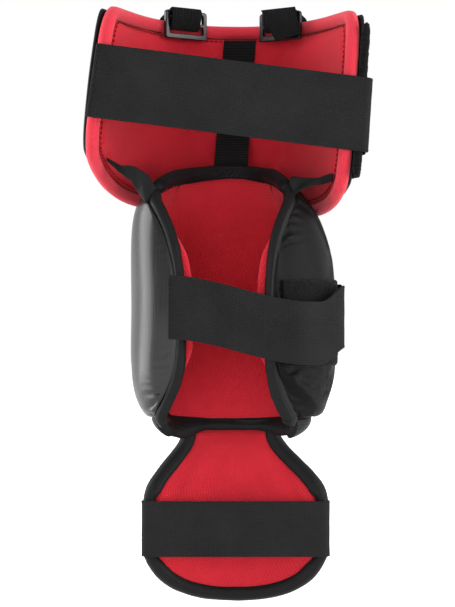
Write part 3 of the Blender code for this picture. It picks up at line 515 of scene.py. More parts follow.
def halve(piece: Piece, height: float) -> tuple[Piece, Piece]:
    """Cut a piece at a height, for cloth that is held at its top and at its foot.

    Args:
        piece: the piece, which keeps what lies above the cut.
        height: the height of the cut.

    Returns:
        The part above the cut, and a new part below it.
    """
    foot = piece.copy()
    foot.data = piece.data.copy()
    foot.name = foot.data.name = piece.name + "_foot"
    bpy.context.scene.collection.objects.link(foot)
    for half in (piece, foot):
        work = bmesh.new()
        work.from_mesh(half.data)
        every = work.verts[:] + work.edges[:] + work.faces[:]
        plane = {"plane_co": (0.0, 0.0, height), "plane_no": (0.0, 0.0, 1.0)}
        bmesh.ops.bisect_plane(work, geom=every, clear_inner=half is piece, clear_outer=half is foot, **plane)
        work.to_mesh(half.data)
        work.free()
    return piece, foot


def roll(
    name: str,
    frames: Sequence[Frame],
    section: Callable[[float, Vector], Spot],
    sides: int,
    closed: bool,
    material: bpy.types.Material,
) -> Piece:
    """Sweep a round section along a line, for a binding or a rolled rim.

    Args:
        name: the piece's name.
        frames: the line, with the axes of the section at each point.
        section: offsets along the out and normal axes, from the angle and the point on the line.
        sides: points round the section.
        closed: whether the line closes on itself.
        material: its finish.

    Returns:
        The new piece.
    """
    runs = [0.0]
    for before, after in zip(frames, frames[1:]):
        runs.append(runs[-1] + (after.point - before.point).length)
    points: list[Vector] = []
    for frame in frames:
        for k in range(sides):
            out, lift = section(2 * math.pi * k / sides, frame.point)
            points.append(frame.point + frame.out * out + frame.normal * lift)
    count = len(frames)
    faces: list[list[int]] = []
    cloth: list[Spot] = []
    girth = 25.0 * MM
    for i in range(count if closed else count - 1):
        far = (i + 1) % count
        end = runs[far] if far else runs[-1] + (frames[0].point - frames[-1].point).length
        for k in range(sides):
            after = (k + 1) % sides
            faces.append([i * sides + k, far * sides + k, far * sides + after, i * sides + after])
            low, high = girth * k / sides, girth * (k + 1) / sides
            cloth += [(runs[i], low), (end, low), (end, high), (runs[i], high)]
    if not closed:
        for first in (0, (count - 1) * sides):
            centre = sum((points[first + k] for k in range(sides)), Vector()) / sides
            points.append(centre)
            for k in range(sides):
                faces.append([first + k, first + (k + 1) % sides, len(points) - 1])
                cloth += [(0.0, 0.0), (MM, 0.0), (0.0, MM)]
    return make_piece(name, points, faces, cloth, material)


def stitches(
    name: str,
    line: Sequence[Frame],
    pitch: float,
    gauge: float,
    material: bpy.types.Material,
) -> Piece:
    """Sew a row of thread stitches along a line.

    Args:
        name: the piece's name.
        line: the row, with the outward normal of the cloth at each point.
        pitch: length from one stitch to the next.
        gauge: thickness of the thread.
        material: its finish.

    Returns:
        The new piece, one mesh of small bent capsules.
    """
    points: list[Vector] = []
    faces: list[list[int]] = []
    cloth: list[Spot] = []
    spots = spread([frame.point for frame in line], max(2, round(run_of(line) / pitch)))
    ring, around = (-0.5, -0.36, -0.12, 0.12, 0.36, 0.5), 6
    for before, after in zip(spots, spots[1:]):
        near = min(line, key=lambda frame: (frame.point - before).length_squared)
        along = after - before
        side = along.cross(near.normal).normalized()
        first = len(points)
        for t in ring:
            thick = gauge / 2 * (0.4 if abs(t) > 0.45 else 1.0)
            lift = gauge * (0.45 - 3.2 * t * t)
            centre = before.lerp(after, 0.5 + 0.72 * t) + near.normal * lift
            for k in range(around):
                turn = 2 * math.pi * k / around
                arm = side * math.cos(turn) + near.normal * math.sin(turn)
                points.append(centre + arm * thick)
        for i in range(len(ring) - 1):
            for k in range(around):
                a, b = first + i * around + k, first + i * around + (k + 1) % around
                faces.append([a, a + around, b + around, b])
                cloth += [(i * gauge, k * gauge / 2), ((i + 1) * gauge, k * gauge / 2)]
                cloth += [((i + 1) * gauge, (k + 1) * gauge / 2), (i * gauge, (k + 1) * gauge / 2)]
        for start in (first, first + (len(ring) - 1) * around):
            faces.append([start + k for k in range(around)])
            cloth += [(0.0, 0.0)] * around
    return make_piece(name, points, faces, cloth, material)


def run_of(line: Sequence[Frame]) -> float:
    """Length of a line."""
    return sum((b.point - a.point).length for a, b in zip(line, line[1:]))


def spread(line: Sequence[Vector], count: int) -> list[Vector]:
    """Give points at even steps along a line."""
    lengths = [0.0]
    for a, b in zip(line, line[1:]):
        lengths.append(lengths[-1] + (b - a).length)
    spaced: list[Vector] = []
    index = 0
    for k in range(count + 1):
        target = lengths[-1] * k / count
        while index < len(line) - 2 and lengths[index + 1] < target:
            index += 1
        piece = max(lengths[index + 1] - lengths[index], 1e-9)
        spaced.append(line[index].lerp(line[index + 1], (target - lengths[index]) / piece))
    return spaced


def rounded(points: Sequence[Vector], radius: float, steps: int) -> list[Vector]:
    """Round the inner corners of a polyline.

    Args:
        points: the polyline.
        radius: the radius of the corners.
        steps: points on each corner.

    Returns:
        The rounded line.
    """
    line = [points[0]]
    for before, corner, after in zip(points, points[1:], points[2:]):
        back, ahead = (before - corner).normalized(), (after - corner).normalized()
        half = back.angle(ahead) / 2
        reach = min(radius / math.tan(half), 0.48 * (before - corner).length, 0.48 * (after - corner).length)
        centre = corner + (back + ahead).normalized() * (reach / math.cos(half))
        size = reach * math.tan(half)
        start, end = corner + back * reach - centre, corner + ahead * reach - centre
        turn = start.angle(end)
        for k in range(steps + 1):
            s = k / steps
            arm = start * math.sin((1 - s) * turn) + end * math.sin(s * turn)
            line.append(centre + arm.normalized() * size)
    line.append(points[-1])
    return line


def square(wide: int, tall: int) -> list[Spot]:
    """Walk once round the square from -1 to 1, from its lower left corner and back to it."""
    line: list[Spot] = []
    corners = ((-1.0, -1.0), (1.0, -1.0), (1.0, 1.0), (-1.0, 1.0), (-1.0, -1.0))
    for k, count in enumerate((wide, tall, wide, tall)):
        (p, q), (far_p, far_q) = corners[k], corners[k + 1]
        line += [(p + (far_p - p) * s / count, q + (far_q - q) * s / count) for s in range(count)]
    return [*line, corners[0]]


def off_line(spot: Spot, start: Spot, end: Spot) -> Spot:
    """Give how far along a straight line a spot lies, as a share, and how far off it."""
    along = Vector(end) - Vector(start)
    away = Vector(spot) - Vector(start)
    ahead = along.normalized()
    return away.dot(ahead) / along.length, away.dot(Vector((-ahead.y, ahead.x)))


# Skins that the layers follow


class Skin:
    """A curved face of the guard, walked by two coordinates and a depth in its wall."""

    inwards = 1.0

    def face(self, a: float, b: float) -> Vector:
        """Give the point on the face."""
        raise NotImplementedError

    def normal(self, a: float, b: float) -> Vector:
        """Give the unit normal of the face."""
        step = 1e-4
        along = self.face(a + step, b) - self.face(a - step, b)
        up = self.face(a, b + step) - self.face(a, b - step)
        return along.cross(up).normalized()

    def wall(self, a: float, b: float, depth: float) -> Vector:
        """Give the point at a depth in the wall."""
        return self.face(a, b) + self.normal(a, b) * (depth * self.inwards)

    def edge(self, spots: Sequence[Spot], depth: float, reach: float, closed: bool) -> list[Frame]:
        """Run a line outside an edge of the face.

        Args:
            spots: the edge, in the face's coordinates.
            depth: depth of the line in the wall.
            reach: how far the line runs outside the edge.
            closed: whether the edge closes on itself.

        Returns:
            The line, with its outward axis and its normal.
        """
        line: list[Frame] = []
        count = len(spots)
        for k, (a, b) in enumerate(spots):
            before = spots[(k - 1) % count] if closed or k > 0 else spots[k]
            after = spots[(k + 1) % count] if closed or k < count - 1 else spots[k]
            tangent = (self.face(*after) - self.face(*before)).normalized()
            normal = self.normal(a, b)
            out = tangent.cross(normal).normalized()
            line.append(Frame(self.face(a, b) + normal * (depth * self.inwards) + out * reach, out, normal))
        return line

    def row(self, spots: Sequence[Spot], depth: float, facing: float) -> list[Frame]:
        """Run a row of stitches at a depth in the wall, facing along the normal, 1, or against it, -1."""
        return [Frame(self.wall(a, b, depth), Vector(), self.normal(a, b) * facing) for a, b in spots]


@dataclass
class ThighSkin(Skin):
    """Lining face of the thigh trough: a runs from the left rim, -1, to the right, 1, and b is the height."""

    arc: float = math.radians(75.0)
    rim_y: float = -35.0 * MM
    depth: float = 85.0 * MM
    top: float = 192.5 * MM
    left_peak: float = 5.3 * MM
    right_peak: float = 3.5 * MM
    low: float = 76.0 * MM
    left_half: float = 83.5 * MM
    right_half: float = 76.3 * MM
    lean: float = 0.03
    left_flare: float = 0.11
    right_flare: float = -0.035
    deepen: float = 0.08
    corner: float = 0.05
    left_bevel: float = 10.0 * MM
    low_share: float = 0.15
    low_curve: Triple = (-6.0 * MM, -19.7 * MM, 33.7 * MM)
    inwards = -1.0

    def face(self, a: float, b: float) -> Vector:
        """Give the point on the lining face."""
        below = self.top - b
        angle = a * self.arc
        left = self.left_half + self.left_flare * below
        right = self.right_half + self.right_flare * below
        half = left + (right - left) * ease((a + 1.0) / 2)
        x = -self.lean * below + half * math.sin(angle) / math.sin(self.arc)
        dip = (math.cos(angle) - math.cos(self.arc)) / (1.0 - math.cos(self.arc))
        return Vector((x, self.rim_y + (self.depth + self.deepen * below) * dip, b))

    def high(self, p: float) -> float:
        """Upper edge of the trough, raised to a peak at each rim."""
        return self.top + (self.right_peak if p > 0.0 else self.left_peak) * p * p

    @property
    def girth(self) -> float:
        """Half of the length round the trough, about."""
        return self.arc * (self.left_half + self.depth) * 0.72

    def spot(self, p: float, q: float, margin: float) -> Spot:
        """Turn panel coordinates into the face's, with round corners, a cut lower left and a margin."""
        cut = self.corner * (p * q) ** 6
        across, up = p * (1.0 - cut), q * (1.0 - cut)
        tilt, sag, droop = self.low_curve
        low = self.low + tilt * across + sag * across ** 2 + droop * across ** 4
        low += self.left_bevel * ease(-2.0 * across - 1.0) - margin * self.low_share
        share = self.low_share + (1.0 - self.low_share) * ease((up + 1.0) / 1.2)
        wide = across * (1.0 + margin * share / self.girth)
        return wide, low + (up + 1.0) / 2 * (self.high(across) + margin - low)


@dataclass
class KneeSkin(Skin):
    """Outer skin of the knee cup: a is the angle from the front, positive to the right, and b the height."""

    centre: float = -2.3 * MM
    half_width: float = 72.7 * MM
    low: float = -88.0 * MM
    middle: float = -2.0 * MM
    high: float = 98.0 * MM
    fronts: Triple = (36.0 * MM, 70.0 * MM, 34.0 * MM)
    rounds: Triple = (36.0 * MM, 58.0 * MM, 36.0 * MM)
    seam: float = math.radians(60.0)
    top: float = 88.0 * MM
    bottom: float = -84.5 * MM
    left_rim: Triple = (117.0, 146.0, 110.0)
    right_rim: Triple = (136.0, 155.6, 109.0)
    left_waist: float = -20.0 * MM
    right_waist: float = -10.0 * MM
    wing_top: float = 69.0 * MM
    wing_low: float = -82.0 * MM
    corner_top: float = 78.5 * MM
    corner_angle: float = math.radians(108.0)
    rim_trim: float = 0.12
    wing_tuck: float = 2.0 * MM
    wing_radius: float = 65.0 * MM
    # Share cut from the half width on the left and on the right, and the power that it grows by.
    top_trim: tuple[Spot, Spot] = ((0.15, 6.0), (0.36, 2.5))
    low_trim: tuple[Spot, Spot] = ((0.20, 6.0), (0.22, 5.0))
    top_reach: float = 80.0 * MM
    low_reach: float = 84.0 * MM

    def at(self, height: float, values: Triple) -> float:
        """Give a value between the low, middle and high stations."""
        low, middle, high = values
        if height < self.middle:
            return low + (middle - low) * ease((height - self.low) / (self.middle - self.low))
        return high + (middle - high) * ease((self.high - height) / (self.high - self.middle))

    def half(self, angle: float, height: float) -> float:
        """Half width of the cup, fuller on the left wing."""
        rise = height - self.middle
        trims, reach = (self.top_trim, self.top_reach) if rise > 0.0 else (self.low_trim, self.low_reach)
        left, right = (share * (abs(rise) / reach) ** power for share, power in trims)
        turn = (1.0 + math.sin(min(max(angle, -math.pi / 2), math.pi / 2))) / 2
        return self.half_width * (1.0 - left * (1.0 - turn) - right * turn)

    def face(self, a: float, b: float) -> Vector:
        """Give the point on the outer skin."""
        round_y = self.at(b, self.rounds)
        middle_y = self.at(b, self.fronts) - round_y
        return Vector((self.centre + self.half(a, b) * math.sin(a), middle_y + round_y * math.cos(a), b))

    def rim(self, side: Side, height: float) -> float:
        """Angle of the free edge of a wing, turned into the corner at its top."""
        low, middle, high = self.right_rim if side is Side.RIGHT else self.left_rim
        waist = self.right_waist if side is Side.RIGHT else self.left_waist
        rise = min(height, self.wing_top) - waist
        end, reach = (high, self.top - waist) if rise > 0.0 else (low, waist - self.low)
        plain = math.radians(end + (middle - end) * (1.0 - min(abs(rise) / reach, 1.0) ** 3))
        q = 2.0 * (min(height, self.wing_top) - self.wing_low) / (self.wing_top - self.wing_low) - 1.0
        trimmed = self.seam + (plain - self.seam) * (1.0 - self.rim_trim * min(q ** 8, 1.0))
        share = ease((height - self.wing_top) / (self.corner_top - self.wing_top))
        return trimmed + (self.corner_angle - trimmed) * share

    def brow(self, angle: float) -> float:
        """Top edge of the cup, lower towards its free edges."""
        share = ease((abs(angle) - self.seam) / (self.corner_angle - self.seam))
        return self.top + (self.corner_top - self.top) * share

    def wing_spot(self, side: Side, u: float, v: float, reach: float) -> Spot:
        """Turn shares of a wing panel, from its seam to its rim and upwards, into the face's coordinates."""
        low = self.wing_low - self.wing_tuck
        height = low + v * (self.brow(self.seam + (self.corner_angle - self.seam) * u) - low)
        edge = self.rim(side, height) + reach / self.wing_radius
        return side.value * (self.seam + (edge - self.seam) * u), height


@dataclass
class FlapSkin(Skin):
    """Lining face of the shin flap: a runs from the left edge, -1, to the right, 1, and b is the height."""

    y: float = 26.0 * MM
    top: float = -95.3 * MM
    bottom: float = -210.0 * MM
    neck: float = 26.0 * MM
    half: float = 56.3 * MM
    neck_centre: float = -3.5 * MM
    flare_top: float = -96.0 * MM
    flare_low: float = -146.0 * MM
    wrap: float = 14.0 * MM
    pack: float = 11.1 * MM
    # Rise of the foot towards its corners, and the power that it grows by.
    foot_rise: tuple[Spot, Spot] = ((19.0 * MM, 2.4), (10.0 * MM, 9.0))
    inwards = -1.0

    def face(self, a: float, b: float) -> Vector:
        """Give the point on the lining face."""
        share = ease((self.flare_top - b) / (self.flare_top - self.flare_low))
        half = self.neck + (self.half - self.neck) * share
        x = self.neck_centre * (1.0 - share) + a * half
        return Vector((x, self.y - self.wrap * (a * half / self.half) ** 2, b))

    def spot(self, p: float, q: float, tuck: float) -> Spot:
        """Turn panel coordinates into the face's, with a round lower edge and a top tucked into the hem."""
        low = self.bottom + sum(rise * abs(p) ** power for rise, power in self.foot_rise)
        return p, low + (q + 1.0) / 2 * (self.top + tuck - low)


# Sub-assemblies


class Seam(Enum):
    """A kind of seam: its thread, the length of a stitch and the thickness of the thread."""

    SHELL = ("nylon_thread_black", 4.2 * MM, 0.7 * MM)
    RIM = ("polyester_thread_red", 3.6 * MM, 0.8 * MM)
    STRAP = ("nylon_thread_black", 3.4 * MM, 0.9 * MM)
    BOX = ("nylon_thread_black", 3.0 * MM, 0.9 * MM)


@dataclass
class Assembly:
    """A sub-assembly: its finishes, the thickness of its goods, and how its pieces join the frame."""

    finishes: Finishes
    elastic: float = 1.5 * MM
    pile: float = 2.5 * MM
    hooks: float = 1.2 * MM
    hook_trim: float = 2.0 * MM
    webbing: float = 1.4 * MM

    def seat(
        self, piece: Piece, body: str, slot: str, *nodes: str, fill: float | None = None
    ) -> None:
        """Set a piece on a body.

        Args:
            piece: the piece, in its place.
            body: the body that carries it.
            slot: the name of a material slot; not used.
            nodes: the solids it stands for.
            fill: how full it is, for a padded piece; not used.
        """
        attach(piece, body)
        self.enter(piece, body, nodes, fill)

    def bend(
        self,
        piece: Piece,
        bodies: tuple[str, str],
        span: tuple[Sequence[float], Sequence[float]],
        slot: str,
        *nodes: str,
        fill: float | None = None,
    ) -> None:
        """Bake the place of a piece that spans a joint.

        Args:
            piece: the piece, in its place.
            bodies: the two bodies it joins.
            span: where the first body lets go and where the second one takes over; not used.
            slot: the name of a material slot; not used.
            nodes: the solids it stands for.
            fill: how full it is, for a padded piece; not used.
        """
        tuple(span[0])
        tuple(span[1])
        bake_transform(piece)
        self.enter(piece, "+".join(bodies), nodes, fill)

    def enter(
        self, piece: Piece, body: str, nodes: Sequence[str], fill: float | None
    ) -> None:
        """Hide the solids that a piece stands for, and report it."""
        if nodes:
            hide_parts(*nodes)
        LOG.info("%s on %s: %d faces", piece.name, body, len(piece.data.polygons))

    def sew(self, name: str, line: Sequence[Frame], seam: Seam, body: str, slot: str) -> None:
        """Sew a row of stitches onto a body, with the thread of its seam."""
        thread, pitch, gauge = seam.value
        self.seat(stitches(name, line, pitch, gauge, self.finishes[thread]), body, slot)

    def sewn_end(self, end: Callable[[float], Vector], width: float) -> list[Frame]:
        """Run a row of stitches up the end of a strap, from its middle point at each share of the width."""
        shares = [0.94 * (step / 10 - 1.0) for step in range(21)]
        facing = Vector((0.0, -1.0, 0.0))
        return [Frame(end(q) + Vector((0.0, 0.0, q * width / 2)), Vector(), facing) for q in shares]

    def strap(
        self,
        name: str,
        counts: tuple[int, int],
        lines: Callable[[float], Sequence[Vector]],
        height: Callable[[float], float],
        shape: tuple[float, float],
        finish: str,
        part: tuple[float, float] = (0.0, 1.0),
    ) -> Piece:
        """Make a flat strap that follows a plan line.

        Args:
            name: the piece's name.
            counts: columns and rows of its grid.
            lines: the plan line of its inner face, at a share q across the strap.
            height: the middle height of the strap at an x.
            shape: its width and thickness.
            finish: the name of its material.
            part: the shares of the line where this piece starts and stops.

        Returns:
            The new piece.
        """
        width, thick = shape
        fine = 400
        known: dict[float, list[Vector]] = {}

        def place(p: float, q: float, side: int) -> Vector:
            """Place the strap on its line."""
            if q not in known:
                known[q] = spread(lines(q), fine)
            line = known[q]
            share = part[0] + (p + 1.0) / 2 * (part[1] - part[0])
            index = min(int(share * fine), fine - 1)
            spot = line[index].lerp(line[index + 1], share * fine - index)
            ahead = (line[min(index + 3, fine)] - line[max(index - 3, 0)]).normalized()
            selvedge = 0.3 * MM * bump(abs(q), 0.955, 0.025) if side > 0 else 0.0
            wave = 0.25 * MM * ripple(Vector((spot.x, spot.y, q * width)), 21.0, thick / MM)
            lift = thick / 2 * (1.0 + side * fullness(q, 60.0)) + selvedge + wave
            return Vector((spot.x + ahead.y * lift, spot.y - ahead.x * lift, height(spot.x) + q * width / 2))

        length = sum((b - a).length for a, b in zip(lines(0.0), lines(0.0)[1:])) * (part[1] - part[0])
        open_ends = (part[0] > 0.0, part[1] < 1.0)
        return pillow(name, counts, place, (length, width), self.finishes[finish], open_ends, (False, True))


@dataclass
class ThighGuard(Assembly):
    """The red trough over the thigh, its shell, its strap and its two buckles."""

    skin: ThighSkin = field(default_factory=ThighSkin)
    pack: float = 8.8 * MM
    shell: float = 3.5 * MM
    gap: float = 0.7 * MM
    margin: float = 6.5 * MM
    crown: float = 1.6 * MM
    roll_radius: float = 4.6 * MM
    strap_width: float = 51.6 * MM
    strap_middle: float = 138.8 * MM
    strap_slope: float = 0.127
    strap_fold: float = 1.04
    fold_radius: float = 7.0 * MM
    tab_x: float = 88.0 * MM
    pile_middle: Spot = (0.85, 139.0 * MM)
    pile_half: Spot = (0.22, 53.0 * MM)
    pile_lap: float = 4.2 * MM
    lap_start: float = 1.044
    webbing_width: float = 25.0 * MM
    webbing_foot: float = 78.0 * MM
    webbing_lean: Spot = (-0.012, 0.033)
    webbing_leaves: float = 128.0 * MM
    webbing_drop: float = 30.0 * MM
    webbing_span: tuple[Triple, Triple] = ((0.0, -14.0 * MM, 112.0 * MM), (0.0, -14.0 * MM, 84.0 * MM))
    garter_width: float = 25.0 * MM
    garter_drop: float = 41.0 * MM
    garter_bend: float = 6.0 * MM
    garter_radius: float = 9.0 * MM
    buckle_places: Spot = (-0.37, 0.35)
    buckle_clear: float = 2.0 * MM
    buckle_rise: float = 11.0 * MM
    buckle_half: float = 18.0 * MM
    buckle_corner: float = 2.4 * MM
    buckle_soft: float = 0.7 * MM
    bar: float = 2.6 * MM
    foot_bar: float = 4.0 * MM
    plate: float = 3.0 * MM
    slot_half: float = 14.5 * MM
    slot_corner: float = 0.8 * MM
    upper_slot: float = 6.2 * MM
    lower_slot: float = 5.2 * MM
    slider_shifts: Spot = (-2.0 * MM, 0.5 * MM)
    slider_widths: Spot = (25.0 * MM, 26.5 * MM)
    tail_width: float = 30.0 * MM
    tail_lean: Spot = (2.0 * MM, 12.0 * MM)
    # Paths of the webbing across and up a buckle's frame, in millimetres.
    slider_path: tuple[Spot, ...] = (
        (-4.5, 2.8), (-4.9, 0.4), (-4.9, -4.0), (-3.8, -9.0),
        (-2.6, -11.4), (0.0, -12.9), (2.6, -11.6), (2.8, -8.4),
    )
    tail_path: tuple[Spot, ...] = ((-6.2, 3.2), (-6.6, 0.4), (-6.8, -8.0), (-6.0, -21.0))

    def build(self) -> None:
        """Make every piece of the thigh guard."""
        border = [self.skin.spot(p, q, 0.0) for p, q in square(60, 36)[:-1]]
        self.rim_line = self.skin.edge(border, self.pack / 2, self.roll_radius + SEAT, True)
        self.padding()
        self.outer_shell()
        self.rim()
        self.straps()
        self.pile_panel()
        self.centre_webbing()
        for side, p in zip(Side, self.buckle_places):
            frame = self.buckle_frame(p)
            self.garter(side, p, frame)
            self.buckle(side, frame)
            self.slider_webbing(side, frame)

    @property
    def out(self) -> float:
        """Depth of the outer face of the shell."""
        return self.pack + self.gap + self.shell

    @property
    def tab_start(self) -> float:
        """Depth of the inner face of the strap's hook tab."""
        return self.out + self.pile + self.hooks + 3 * SEAT

    def padding(self) -> None:
        """Make the padded lining, crowned towards the leg."""
        middle = self.pack / 2

        def place(p: float, q: float, side: int) -> Vector:
            """Place the crowned lining."""
            across, height = self.skin.spot(p, q, 0.0)
            full = fullness(p, 40.0) * fullness(q, 30.0)
            rise = middle
            if side > 0:
                rise += self.crown * (1.0 - p ** 4) * (1.0 - q ** 4)
                rise += 0.7 * MM * ripple(Vector((across * 0.09, 0.0, height)), 34.0, 1.0)
            return self.skin.wall(across, height, middle - side * rise * full)

        finish = self.finishes["knit_polyester_lining"]
        piece = pillow("thigh_padded_lining", (110, 60), place, (0.27, 0.12), finish)
        fill_out(piece)
        self.seat(piece, "thigh_guard", "red_lining", "thigh_lining", "thigh_foam", fill=0.7)

    def outer_shell(self) -> None:
        """Make the stiff outer shell with its sewn border."""
        inner = self.pack + self.gap
        middle = inner + self.shell / 2

        def place(p: float, q: float, side: int) -> Vector:
            """Place the shell behind the lining."""
            across, height = self.skin.spot(p, q, self.margin)
            full = fullness(p, 90.0) * fullness(q, 70.0)
            return self.skin.wall(across, height, middle - side * self.shell / 2 * full)

        piece = pillow("thigh_shell", (90, 50), place, (0.28, 0.13), self.finishes["pressed_polyethylene"])
        self.seat(piece, "thigh_guard", "black_plate", "thigh_plate")
        spots = [self.skin.spot(p * 0.955, q * 0.93, self.margin) for p, q in square(60, 30)]
        row = self.skin.row(spots, self.out, -1.0)
        self.sew("thigh_shell_stitching", row, Seam.SHELL, "thigh_guard", "black_binding")

    def rim(self) -> None:
        """Make the rolled rim and the stitched crease beside it."""
        def section(angle: float, point: Vector) -> Spot:
            """Give the round section of the roll."""
            size = self.roll_radius * uneven(point, (2.0 * MM * angle, 0.0, 0.0), 0.05, 19.0, 5.0)
            return size * math.cos(angle), size * math.sin(angle)

        # The rolled rim's knit is painted lighter than the lining, as a painted highlight.
        finish = self.finishes["knit_polyester_roll"]
        piece = roll("thigh_rolled_rim", self.rim_line, section, 20, True, finish)
        self.seat(piece, "thigh_guard", "red_binding", "thigh_rim", fill=0.8)
        spots = [self.skin.spot(p * 0.985, q * 0.968, 0.0) for p, q in square(70, 36)]
        row = self.skin.row(spots, 0.4 * MM, 1.0)
        self.sew("thigh_rim_stitching", row, Seam.RIM, "thigh_guard", "red_binding")

    def strap_height(self, x: float) -> float:
        """Middle height of the sloping strap."""
        return self.strap_middle - self.strap_slope * x

    def strap_line(self, q: float) -> list[Vector]:
        """Give the plan line of the strap's inner face, from its sewn end on the left rim to the fold."""
        skin = self.skin
        front = min(frame.point.y for frame in self.rim_line) - self.roll_radius - SEAT
        height = self.strap_height(0.0) + q * self.strap_width / 2
        start = skin.wall(-1.0, height, self.pack / 2).x - self.roll_radius
        end = skin.wall(self.strap_fold, height, self.tab_start)
        points = [Vector((start, front, 0.0)), Vector((end.x, front, 0.0)), Vector((end.x, end.y, 0.0))]
        return rounded(points, self.fold_radius, 9)

    def straps(self) -> None:
        """Make the elastic strap with its sewn end, and its hook tab."""
        shape = (self.strap_width, self.elastic)
        lines, height = self.strap_line, self.strap_height
        piece = self.strap("thigh_elastic", (150, 24), lines, height, shape, "woven_elastic")
        self.seat(piece, "thigh_guard", "grey_elastic", "thigh_strap")

        def end(q: float) -> Vector:
            """Give the sewn point at a share across the strap."""
            spot = spread(self.strap_line(q), 100)[1]
            return Vector((spot.x, spot.y - self.elastic, self.strap_height(spot.x)))

        row = self.sewn_end(end, self.strap_width)
        self.sew("thigh_elastic_stitching", row, Seam.STRAP, "thigh_guard", "grey_elastic")

        def tab(middle: float, reach: float, trim: float, start: float, thick: float) -> Place:
            """Give a layer of the hook tab, by its place across the trough, trim, depth and thickness."""
            def place(p: float, q: float, side: int) -> Vector:
                """Place the layer on the shell."""
                half = (self.strap_width / 2 - trim) * (1.0 - 0.10 * max(p, 0.0) ** 8)
                height = self.strap_height(self.tab_x) + q * half
                full = fullness(p, 60.0) * fullness(q, 60.0)
                return self.skin.wall(middle - reach * p, height, start + thick / 2 * (1.0 + side * full))
            return place

        place = tab(0.85, 0.18, 0.0, self.tab_start, self.elastic)
        piece = pillow("thigh_elastic_tab", (30, 14), place, (0.045, 0.05), self.finishes["woven_elastic"])
        self.seat(piece, "thigh_tab", "grey_elastic", "thigh_hook_tab")
        place = tab(0.81, 0.13, self.hook_trim, self.tab_start - SEAT - self.hooks, self.hooks)
        piece = pillow("thigh_tab_hooks", (24, 14), place, (0.033, 0.046), self.finishes["moulded_hook_tape"])
        self.seat(piece, "thigh_tab", "loop_pile", "thigh_hook_patch")

    def pile_panel(self) -> None:
        """Make the pile panel that the tab grips, rolled over the front edge of the shell."""
        start = self.out + SEAT
        (middle, level), (reach, half) = self.pile_middle, self.pile_half

        def place(p: float, q: float, side: int) -> Vector:
            """Place the ragged pile."""
            jag = 0.012 * ripple(Vector((0.0, p * 3 * MM, q * half)), 2.6, 2.0)
            across = middle + (reach + jag * abs(p) ** 8) * p
            ragged = 1.1 * MM * ripple(Vector((p * 30 * MM, 0.0, q)), 3.0, 7.0) * q ** 8
            height = level + q * half + ragged
            full = fullness(p, 30.0) * fullness(q, 24.0)
            over = self.pile_lap * ease((across - self.lap_start) / 0.008)
            depth = start - over + (self.pile + over) / 2 * (1.0 + side * full)
            if side > 0:
                depth += 0.45 * MM * ripple(Vector((across * 0.11, 0.0, height)), 2.4, 3.0)
            return self.skin.wall(across, height, depth)

        piece = pillow("thigh_loop_pile", (60, 110), place, (0.05, 0.1), self.finishes["brushed_loop_pile"])
        self.seat(piece, "thigh_guard", "loop_pile", "thigh_loop_panel")

    def centre_webbing(self) -> None:
        """Make the webbing that runs down the lining and in behind the top of the knee cup."""
        knee = KneeSkin()
        half = self.webbing_width / (2 * self.skin.arc * self.skin.left_half)
        lift = self.crown * 1.02 + SEAT
        foot, (low_lean, high_lean) = self.webbing_foot, self.webbing_lean

        def place(p: float, q: float, side: int) -> Vector:
            """Place the webbing, on the lining or behind the cup."""
            up = (q + 1.0) / 2
            height = foot + up * (self.skin.top - 1.0 * MM - foot)
            across = p * half + low_lean + (high_lean - low_lean) * up
            thick = self.webbing / 2 * (1.0 + side * fullness(p, 40.0))
            on = self.skin.wall(across, height, -lift - thick)
            low = min(height, knee.top)
            angle = math.asin((on.x - knee.centre) / knee.half(0.0, low))
            angle = math.asin((on.x - knee.centre) / knee.half(angle, low))
            behind = knee.wall(angle, low, -3 * SEAT - self.webbing + thick)
            free = Vector((on.x, behind.y, height))
            return on.lerp(free, ease((self.webbing_leaves - height) / self.webbing_drop))

        piece = pillow("centre_webbing_tape", (14, 90), place, (0.025, 0.112), self.finishes["nylon_webbing"])
        bodies = ("thigh_guard", "knee_section")
        self.bend(piece, bodies, self.webbing_span, "black_webbing", "centre_webbing")

    def buckle_frame(self, p: float) -> Matrix:
        """Give the frame of a buckle on the top rim, with its origin on the bar."""
        top = self.skin.high(p)
        slope = self.skin.face(p + 0.01, top) - self.skin.face(p - 0.01, top)
        across = Vector((slope.x, slope.y, 0.0)).normalized()
        out = Vector((-across.y, across.x, 0.0))
        clear = self.roll_radius + self.buckle_clear + self.plate
        centre = self.skin.wall(p, top, self.pack / 2) - out * clear
        frame = Matrix((across, out, (0.0, 0.0, 1.0))).transposed().to_4x4()
        frame.translation = centre + Vector((0.0, 0.0, self.buckle_rise + self.roll_radius))
        return frame

    def band(
        self,
        name: str,
        frame: Matrix,
        line: Sequence[Vector],
        width: float,
        lean: Spot,
        cut: float = 0.0,
        taper: float = 1.0,
    ) -> Piece:
        """Make a length of webbing that follows a line across a buckle's frame.

        Args:
            name: the piece's name.
            frame: the buckle's frame.
            line: its middle line, across and up the frame.
            width: its width.
            lean: its place along the bar at its two ends.
            cut: how far one corner of its end is cut back.
            taper: share of its width at its end, where it turns away.

        Returns:
            The new piece.
        """
        count = len(line) - 1

        def place(s: float, q: float, face: int) -> Vector:
            """Place the webbing on its line."""
            share = (s + 1.0) / 2 * (1.0 - cut * (q + 1.0) / 2 * ease((s + 1.0) / 2))
            spot = share * count
            index = min(int(spot), count - 1)
            centre = line[index].lerp(line[index + 1], spot - index)
            along = (line[min(index + 2, count)] - line[max(index - 2, 0)]).normalized()
            thick = self.webbing / 2 * face * fullness(q, 40.0) * fullness(s, 200.0)
            x = q * width / 2 * (1.0 + (taper - 1.0) * share) + lean[0] + (lean[1] - lean[0]) * share
            return frame @ Vector((x, centre.x + along.y * thick, centre.y - along.x * thick))

        length = sum((b - a).length for a, b in zip(line, line[1:]))
        cloth = (length, width)
        return pillow(name, (120, 12), place, cloth, self.finishes["nylon_webbing"], bunched=(False, True))

